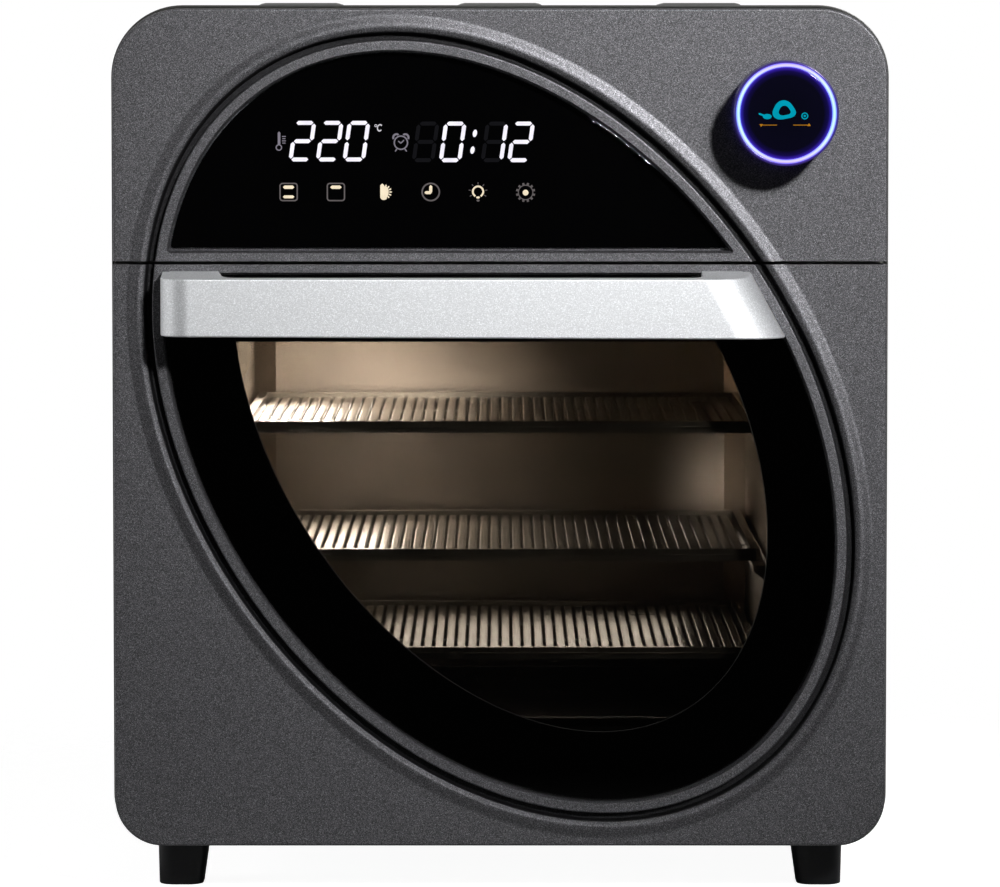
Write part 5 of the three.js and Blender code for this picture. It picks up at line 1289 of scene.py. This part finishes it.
def make_knob():
    front, back = KNOB_FRONT, KNOB_BACK
    rim, inner, floor = KNOB_RADIUS - KNOB_DRAFT, LIGHT_OUTER + KNOB_GAP, front + KNOB_RECESS
    grip = spun(
        [(KNOB_HUB, back), (KNOB_RADIUS - KNOB_EDGE, back)]
        + arc_points((KNOB_RADIUS - KNOB_EDGE, back - KNOB_EDGE), KNOB_EDGE, QUARTER_TURN, 0)
        + [(KNOB_RADIUS, floor), (rim, front + 2 * KNOB_EDGE)]
        + arc_points((rim - KNOB_EDGE, front + KNOB_EDGE), KNOB_EDGE, 0, -QUARTER_TURN)
        + [(inner, front + KNOB_LAND), (inner, floor), (KNOB_HUB, floor)],
        KNOB_STEPS * 2, KNOB_PLACE, closed=True)
    for vert in grip.verts:
        out = Vector((vert.co.x - KNOB_X, 0, vert.co.z - KNOB_Z))
        if out.length > KNOB_RADIUS - MERGE and floor - MERGE < vert.co.y < back:
            turn = math.atan2(out.z, out.x)
            vert.co -= out.normalized() * KNURL_DEPTH * (1 - math.cos(turn * KNURL_COUNT)) / 2
    light = [(LIGHT_OUTER - LIGHT_WIDTH * inwards, front + depth * MM)
             for inwards, depth in LIGHT_SECTION]
    lens = (
        [(0, front + LENS_THICKNESS), (LENS_RADIUS, front + LENS_THICKNESS)]
        + arc_points((LENS_RADIUS - LENS_EDGE, front + 2 * LENS_EDGE), LENS_EDGE, 0,
                     -QUARTER_TURN, 3)
        + [(LENS_RADIUS * out, front + LENS_EDGE * rise) for out, rise in LENS_DOME]
    )
    low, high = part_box("knob_core")
    shoulder = low.y + CORE_HEAD
    core = [(0, low.y), (LIGHT_OUTER, low.y), (LIGHT_OUTER, shoulder), (CORE_STEM, shoulder),
            (CORE_STEM, high.y - LENS_EDGE), (CORE_STEM - LENS_EDGE, high.y), (0, high.y)]
    for name, shape, body, slot, node in (
        ("knob_grip_ring", grip, "knob_grip", "knob_metal", "knob_ring"),
        ("knob_lit_ring", spun(light, KNOB_STEPS, KNOB_PLACE, closed=True), "knob_plunger",
         "ring_light", "knob_light_ring"),
        ("knob_display_lens", spun(lens, KNOB_STEPS, KNOB_PLACE), "knob_plunger", "knob_lens",
         "knob_lens"),
        ("knob_inner_core", spun(core, KNOB_STEPS // 2, KNOB_PLACE), "knob_plunger",
         "inner_plastic", "knob_core"),
    ):
        finish_piece(name, shape, body, slot, [node])
    knob_picture()


def knob_picture():
    """A made-up picture of food, with an arrow on each side below it."""
    food, arrows = bmesh.new(), bmesh.new()
    chop = [vert for sizes in CHOP_RINGS for vert in ring(food, *sizes)]
    for vert in chop:
        turn = math.atan2(vert.co.z, vert.co.x)
        vert.co *= 1 + sum(size * math.cos(count * turn + start)
                           for count, start, size in CHOP_WAVES)
        vert.co.z *= CHOP_FLATNESS
    lay(chop, PICTURE_MIDDLE, FOOD_ROW)
    draw(food, PICTURE_MIDDLE, FOOD_ROW, FOOD_PARTS)
    draw(arrows, PICTURE_MIDDLE, ARROW_ROW, ARROW_PARTS)
    sink = KNOB_FRONT - FACE_Y - LIT_DEPTH + PICTURE_SINK
    lit_piece("knob_food_picture", food, "cyan_light", "knob_plunger", "knob_lens", sink)
    lit_piece("knob_arrows", arrows, "orange_light", "knob_plunger", "knob_lens", sink)


# Handle

HANDLE_FRONT = HANDLE_LOW.y
HANDLE_BAR = 10 * MM
HANDLE_BACK = FACE_Y + 0.3 * MM
HANDLE_STAND_OFF = 1.5 * MM
HANDLE_STEP = 2.8 * MM
HANDLE_LEFT_RADIUS = 13 * MM
HANDLE_RIGHT_RADIUS = 23 * MM
HANDLE_SLOPE = 1.0 * MM
HANDLE_RAISE = 1.7 * MM
HANDLE_RAISE_END = 0.6
HANDLE_CUT = 3 * MM
HANDLE_LIFT = 1.1 * MM
HANDLE_EDGE = 0.8 * MM
HANDLE_STEPS = 14
HANDLE_LEAN = -0.546
FINGER_LEFT = -123 * MM
FINGER_RIGHT = 88 * MM
FINGER_RADIUS = 6 * MM


def make_handle():
    low, high = HANDLE_LOW.z, HANDLE_HIGH.z
    middle = (low + high) / 2
    left = HANDLE_LOW.x
    right = HANDLE_HIGH.x + HANDLE_LEAN * (high - low) / 2
    bar_back = HANDLE_FRONT + HANDLE_BAR
    stand = FACE_Y - HANDLE_STAND_OFF
    shape = bmesh.new()
    plan = [
        (left, stand, 0), (left, HANDLE_FRONT, HANDLE_LEFT_RADIUS),
        (right, HANDLE_FRONT, HANDLE_RIGHT_RADIUS), (right, stand, 0),
        (right - HANDLE_STEP, stand, 0), (right - HANDLE_STEP, HANDLE_BACK, 0),
        (FINGER_RIGHT, HANDLE_BACK, 0), (FINGER_RIGHT, bar_back, FINGER_RADIUS),
        (FINGER_LEFT + HANDLE_CUT, bar_back, FINGER_RADIUS), (FINGER_LEFT, HANDLE_BACK, 0),
        (left + HANDLE_STEP, HANDLE_BACK, 0), (left + HANDLE_STEP, stand, 0),
    ]
    verts = [shape.verts.new((x, y, low)) for x, y, radius in plan]
    shape.faces.new(verts)
    for vert, (x, y, radius) in zip(verts, plan):
        if radius:
            bevel(shape, [vert], radius, HANDLE_STEPS)
    extrude(shape, shape.faces[:], (0, 0, high - low))
    turn_outward(shape)
    rims = [edge for edge in shape.edges
            if abs(edge.verts[0].co.z - edge.verts[1].co.z) < MERGE
            and edge.calc_face_angle(0) > 1]
    bevel(shape, rims, HANDLE_EDGE, 3, "EDGES")
    for vert in shape.verts:
        up = (vert.co.z - low) / (high - low)
        forward = (FACE_Y - vert.co.y) / (FACE_Y - HANDLE_FRONT)
        leftward = (right - vert.co.x) / (right - left)
        vert.co.z -= HANDLE_SLOPE * forward * up
        vert.co.z += HANDLE_RAISE * up * max(0, 1 - forward / HANDLE_RAISE_END)
        vert.co.z += HANDLE_LIFT * leftward * (1 - up)
        if vert.co.x > FINGER_RIGHT + HANDLE_EDGE:
            vert.co.x += HANDLE_LEAN * (vert.co.z - middle)
    finish_piece("handle_bar", shape, "door", "handle_silver", ["door_handle"], crease=40)


# Housing: a wrapped sheet with pressed louvres in its top

HOUSING_TOP_RADIUS = 31.6 * MM
HOUSING_BOTTOM_RADIUS = 22.6 * MM
HOUSING_STEPS = 20
HOUSING_SHEET = 1.2 * MM
HOUSING_EDGE = 0.25 * MM
HOUSING_TOP = 391 * MM
HOUSING_FRONT = FACE_Y + 19 * MM
BASE_OPENING = 118.4 * MM
BASE_CUT = 1.5 * MM
LOUVRE_WIDTH = 43 * MM
LOUVRE_LENGTH = 9 * MM
LOUVRE_SHEET = 0.8 * MM
LOUVRE_RISE = 1.8 * MM
LOUVRE_SLOPE = 5 * MM
LOUVRE_RAMP = 0.55
LOUVRE_OPENING = 0.45
LOUVRE_CUT = 5 * MM
LOUVRE_GRID = (24, 10)
LOUVRE_ROWS = tuple(FACE_Y + row * MM for row in (120, 138, 156))
LOUVRE_COLUMNS = (-91 * MM, 0, 91 * MM)
LOUVRE_PLACES = [(x, y) for x in LOUVRE_COLUMNS for y in LOUVRE_ROWS]


def smooth(share):
    share = min(1, share)
    return share * share * (3 - 2 * share)


def make_housing():
    shape = bmesh.new()
    face = round_plate(shape, SHELL_HIGH.x, SHELL_LOW.z, HOUSING_TOP, HOUSING_BOTTOM_RADIUS,
                       HOUSING_TOP_RADIUS, HOUSING_STEPS)
    shift(shape, 0, HOUSING_FRONT - FACE_Y, 0)
    ends = extrude(shape, [face], (0, SHELL_HIGH.y - HOUSING_FRONT, 0))
    remove(shape, [face] + ends)
    cutter = bmesh.new()
    half = LOUVRE_WIDTH / 2 - LOUVRE_SLOPE
    for x, front in LOUVRE_PLACES:
        add_box(cutter, (x - half, front + LOUVRE_LENGTH * LOUVRE_OPENING, HOUSING_TOP - LOUVRE_CUT),
                (x + half, front + LOUVRE_LENGTH, HOUSING_TOP + MM))
    add_box(cutter, (-BASE_OPENING, HOUSING_FRONT - MM, SHELL_LOW.z - MM),
            (BASE_OPENING, SHELL_HIGH.y + MM, SHELL_LOW.z + BASE_CUT))
    turn_outward(cutter)
    knife = linked("louvre_cutter", to_mesh(cutter, "louvre_cutter"))
    mesh = applied(
        shape, "wrapped_housing",
        ("SOLIDIFY", {"thickness": HOUSING_SHEET, "offset": -1}),
        ("BOOLEAN", {"object": knife, "operation": "DIFFERENCE", "solver": "EXACT"}),
        ("BEVEL", {"width": HOUSING_EDGE, "segments": 2, "limit_method": "ANGLE",
                   "angle_limit": math.radians(40)}),
    )
    drop(knife)
    dress_mesh("wrapped_housing", mesh, "chassis", "housing_paint", ["housing_shell"])


def make_louvres():
    """Scoops pressed up from the top, open to the rear."""
    shape = bmesh.new()
    columns, rows = LOUVRE_GRID
    for x, front in LOUVRE_PLACES:
        grid = bmesh.ops.create_grid(shape, x_segments=columns, y_segments=rows, size=1)
        for vert in grid["verts"]:
            side = (1 - abs(vert.co.x)) * LOUVRE_WIDTH / 2 / LOUVRE_SLOPE
            along = (vert.co.y + 1) / 2
            vert.co = (x + vert.co.x * LOUVRE_WIDTH / 2, front + along * LOUVRE_LENGTH,
                       HOUSING_TOP + LOUVRE_RISE * smooth(side) * smooth(along / LOUVRE_RAMP))
    mesh = applied(shape, "louvres", ("SOLIDIFY", {"thickness": LOUVRE_SHEET, "offset": -1}))
    dress_mesh("housing_louvres", mesh, "chassis", "housing_paint")


# Feet, narrower towards the worktop

FOOT_ROUND = 8 * MM
FOOT_STEPS = 10
FOOT_EDGE = 0.8 * MM
FOOT_LEAN = 0.4 * MM
FOOT_TAPER_X = 0.13
FOOT_TAPER_Y = 0.08


def make_feet():
    for node in sorted(name for name in NODES if name.startswith("foot_")):
        low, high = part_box(node)
        shape = bmesh.new()
        add_box(shape, low, high)
        uprights = [edge for edge in shape.edges
                    if abs(edge.verts[0].co.z - edge.verts[1].co.z) > FOOT_ROUND]
        bevel(shape, uprights, FOOT_ROUND, FOOT_STEPS, "EDGES")
        middle = (low + high) / 2
        outward = math.copysign(1, middle.x)
        outer = high.x if outward > 0 else low.x
        for vert in shape.verts:
            down = (high.z - vert.co.z) / (high.z - low.z)
            vert.co.x = (outer + (vert.co.x - outer) * (1 - FOOT_TAPER_X * down)
                         - outward * FOOT_LEAN * down)
            vert.co.y = middle.y + (vert.co.y - middle.y) * (1 - FOOT_TAPER_Y * down)
        round_edges(shape, FOOT_EDGE, 3, angle=50)
        finish_piece(node.replace("foot", "moulded_foot"), shape, "chassis", "foot_rubber",
                     [node])


# Racks: flat wires with rounded sides, from front to back in a rolled frame, on two ties

WIRE_PITCH = 5 * MM
WIRE_HALF_WIDTH = 1.85 * MM
WIRE_HALF_HEIGHT = 1.1 * MM
WIRE_SQUARENESS = 0.5
WIRE_DROP = 2.1 * MM
WIRE_SIDES = 20
WIRE_END = 0.6
RACK_FRAME = 4 * MM
RACK_CORNER = 2.5 * MM
RACK_CORNER_STEPS = 8
RACK_ROLL = 1.8 * MM
RACK_LIFT = 1.2 * MM
RACK_RIDGE = 0.5 * MM
RIDGE_HALF = 0.35 * MM
TIE_HALF = 1.2 * MM
TIE_THICKNESS = 0.7 * MM
TIE_SINK = 0.2 * MM


def make_rack(node, body):
    low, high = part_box(node)
    shape = rack_rim(low + Vector((0, RACK_RIDGE, 0)), high)
    inside = high.x - RACK_FRAME
    belt = (low.z + high.z) / 2
    rounded_box(shape, (-inside, low.y, belt - RIDGE_HALF),
                (inside, low.y + 2 * RACK_RIDGE, belt + RIDGE_HALF), RIDGE_HALF / 2)
    count = int(2 * inside / WIRE_PITCH)
    height = high.z - WIRE_DROP - WIRE_HALF_HEIGHT
    end = RACK_FRAME * WIRE_END
    for index in range(count):
        add_wire(shape, (index - (count - 1) / 2) * WIRE_PITCH, low.y + end, high.y - end, height)
    top = height - WIRE_HALF_HEIGHT + TIE_SINK
    for third in (1, 2):
        y = low.y + (high.y - low.y) * third / 3
        rounded_box(shape, (-inside - MM, y - TIE_HALF, top - TIE_THICKNESS),
                    (inside + MM, y + TIE_HALF, top), TIE_SINK)
    shift(shape, 0, 0, RACK_LIFT)
    finish_piece("wire_" + node, shape, body, "rack_chrome", [node])


def add_wire(shape, x, front, back, height):
    """A flattened wire with rounded sides, from front to back."""
    first, last = [], []
    for step in range(WIRE_SIDES):
        turn = FULL_TURN * (step + 0.5) / WIRE_SIDES
        across, up = (math.copysign(abs(part) ** WIRE_SQUARENESS, part)
                      for part in (math.cos(turn), math.sin(turn)))
        for end, y in ((first, front), (last, back)):
            end.append(shape.verts.new(
                (x + WIRE_HALF_WIDTH * across, y, height + WIRE_HALF_HEIGHT * up)))
    for step in range(WIRE_SIDES):
        after = (step + 1) % WIRE_SIDES
        shape.faces.new((first[step], first[after], last[after], last[step]))
    shape.faces.new(first[::-1])
    shape.faces.new(last)


def rack_rim(low, high):
    """A flat rounded frame with rolled edges."""
    shape = bmesh.new()
    for vert in unit_square(shape):
        vert.co = (high.x if vert.co.x > 0 else low.x, high.y if vert.co.y > 0 else low.y, high.z)
    bevel(shape, shape.verts[:], RACK_CORNER, RACK_CORNER_STEPS)
    cut_inside(shape, largest(shape.faces), RACK_FRAME)
    extrude(shape, shape.faces[:], (0, 0, low.z - high.z))
    turn_outward(shape)
    round_edges(shape, RACK_ROLL, 4, angle=60)
    return shape


# Pieces that keep the frame's shape, with their edges softened: the width of each in mm

SLOT_OF = {row["node"]: row["material_slot"] for row in frame["record"]["subparts"]}
FINISH_OF = {
    "cavity_left_wall": "chamber_sides", "cavity_right_wall": "chamber_sides",
    "cavity_ceiling": "chamber_sides", "cavity_floor": "chamber_sides",
    "temperature_probe": "chamber_sides", "lamp_lens": "lens_light", "lamp_bulb": "bulb_light",
}
REFINED = {
    "rear_cover": 0.3, "base_plate": 0.3, "cable_gland": 0.4, "front_frame": 0.25,
    "cavity_left_wall": 0.3, "cavity_right_wall": 0.3, "cavity_rear_wall": 0.25,
    "cavity_ceiling": 0.25, "cavity_floor": 0.25, "drip_tray": 0.25, "door_seal": 0.6,
    "door_inner_panel": 0.3, "strike_plate": 0.3, "hinge_bracket_left": 0.3,
    "hinge_bracket_right": 0.3, "magnetic_catch": 0.4,
}


def refined(node, width):
    """A copy of a frame node with its facets joined and its sharp edges rounded."""
    source = NODES[node]
    shape = bmesh.new()
    shape.from_mesh(source.data)
    close_doubles(shape)
    bmesh.ops.dissolve_limit(shape, angle_limit=math.radians(1), verts=shape.verts,
                             edges=shape.edges, use_dissolve_boundaries=False, delimit=set())
    round_edges(shape, width, angle=35)
    finish_piece("soft_" + node, shape, source["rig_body"], SLOT_OF[node], [node],
                 turn_out=False, finish=FINISH_OF.get(node))


def dress_frame():
    for node, width in REFINED.items():
        refined(node, width * MM)
    for name, node in NODES.items():
        if not node.hide_render:
            node.data.materials.clear()
            node.data.materials.append(FINISH[FINISH_OF.get(name, SLOT_OF[name])])


add_camera()
light_scene()
make_front()
make_glass()
make_digits()
make_icons()
make_signs()
make_knob()
make_handle()
make_housing()
make_louvres()
make_feet()
for level in ("upper", "middle", "lower"):
    make_rack("rack_" + level, level + "_rack")
dress_frame()


# Floor: it takes the object's shadow, and fades out into the white room

FLOOR_RADIUS = 1.1
FLOOR_NEAR = 0.27
FLOOR_FAR = 0.62
FLOOR_COLOR = (0.55, 0.55, 0.55)
FLOOR_ROUGHNESS = 0.8
FLOOR_CLOUDS = 3
FLOOR_TONES = (0.98, 1.02, 0.2, 0.8)
FLOOR_STEPS = 96
FLOOR_SEEN = 0.95


def floor_finish():
    made, tree, surface = new_finish("studio_floor", FLOOR_COLOR, FLOOR_ROUGHNESS)
    vector = placed(tree)
    path = tree.nodes.new("ShaderNodeLightPath").outputs
    feed(tree, surface, {
        "Specular IOR Level": 0,
        "Base Color": toned(tree, noise(tree, vector, FLOOR_CLOUDS), FLOOR_COLOR, *FLOOR_TONES),
        "Emission Color": (1, 1, 1, 1),
        "Emission Strength": spread(tree, path["Is Camera Ray"], 0, FLOOR_SEEN),
    })
    fade = spread(tree, length_of(tree, vector), 0, 1, FLOOR_NEAR, FLOOR_FAR,
                  interpolation_type="SMOOTHSTEP")
    mix = add_node(tree, "MixShader", {
        "Fac": fade, 1: surface.outputs["BSDF"], 2: add_node(tree, "BsdfTransparent", {}),
    })
    feed(tree, tree.nodes["Material Output"], {"Surface": mix})
    return made


def make_floor():
    shape = bmesh.new()
    bmesh.ops.create_circle(shape, cap_ends=True, segments=FLOOR_STEPS, radius=FLOOR_RADIUS)
    mesh = to_mesh(shape, "floor")
    mesh.materials.append(floor_finish())
    linked("floor", mesh)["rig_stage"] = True


make_floor()

bpy.context.scene.view_settings.view_transform = "Standard"


def plain_box(bounds):
    return [list(corner) if hasattr(corner, "__len__") else corner for corner in bounds]


{"cad": plain_box(CAD_BOX), "visual": plain_box(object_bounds())}
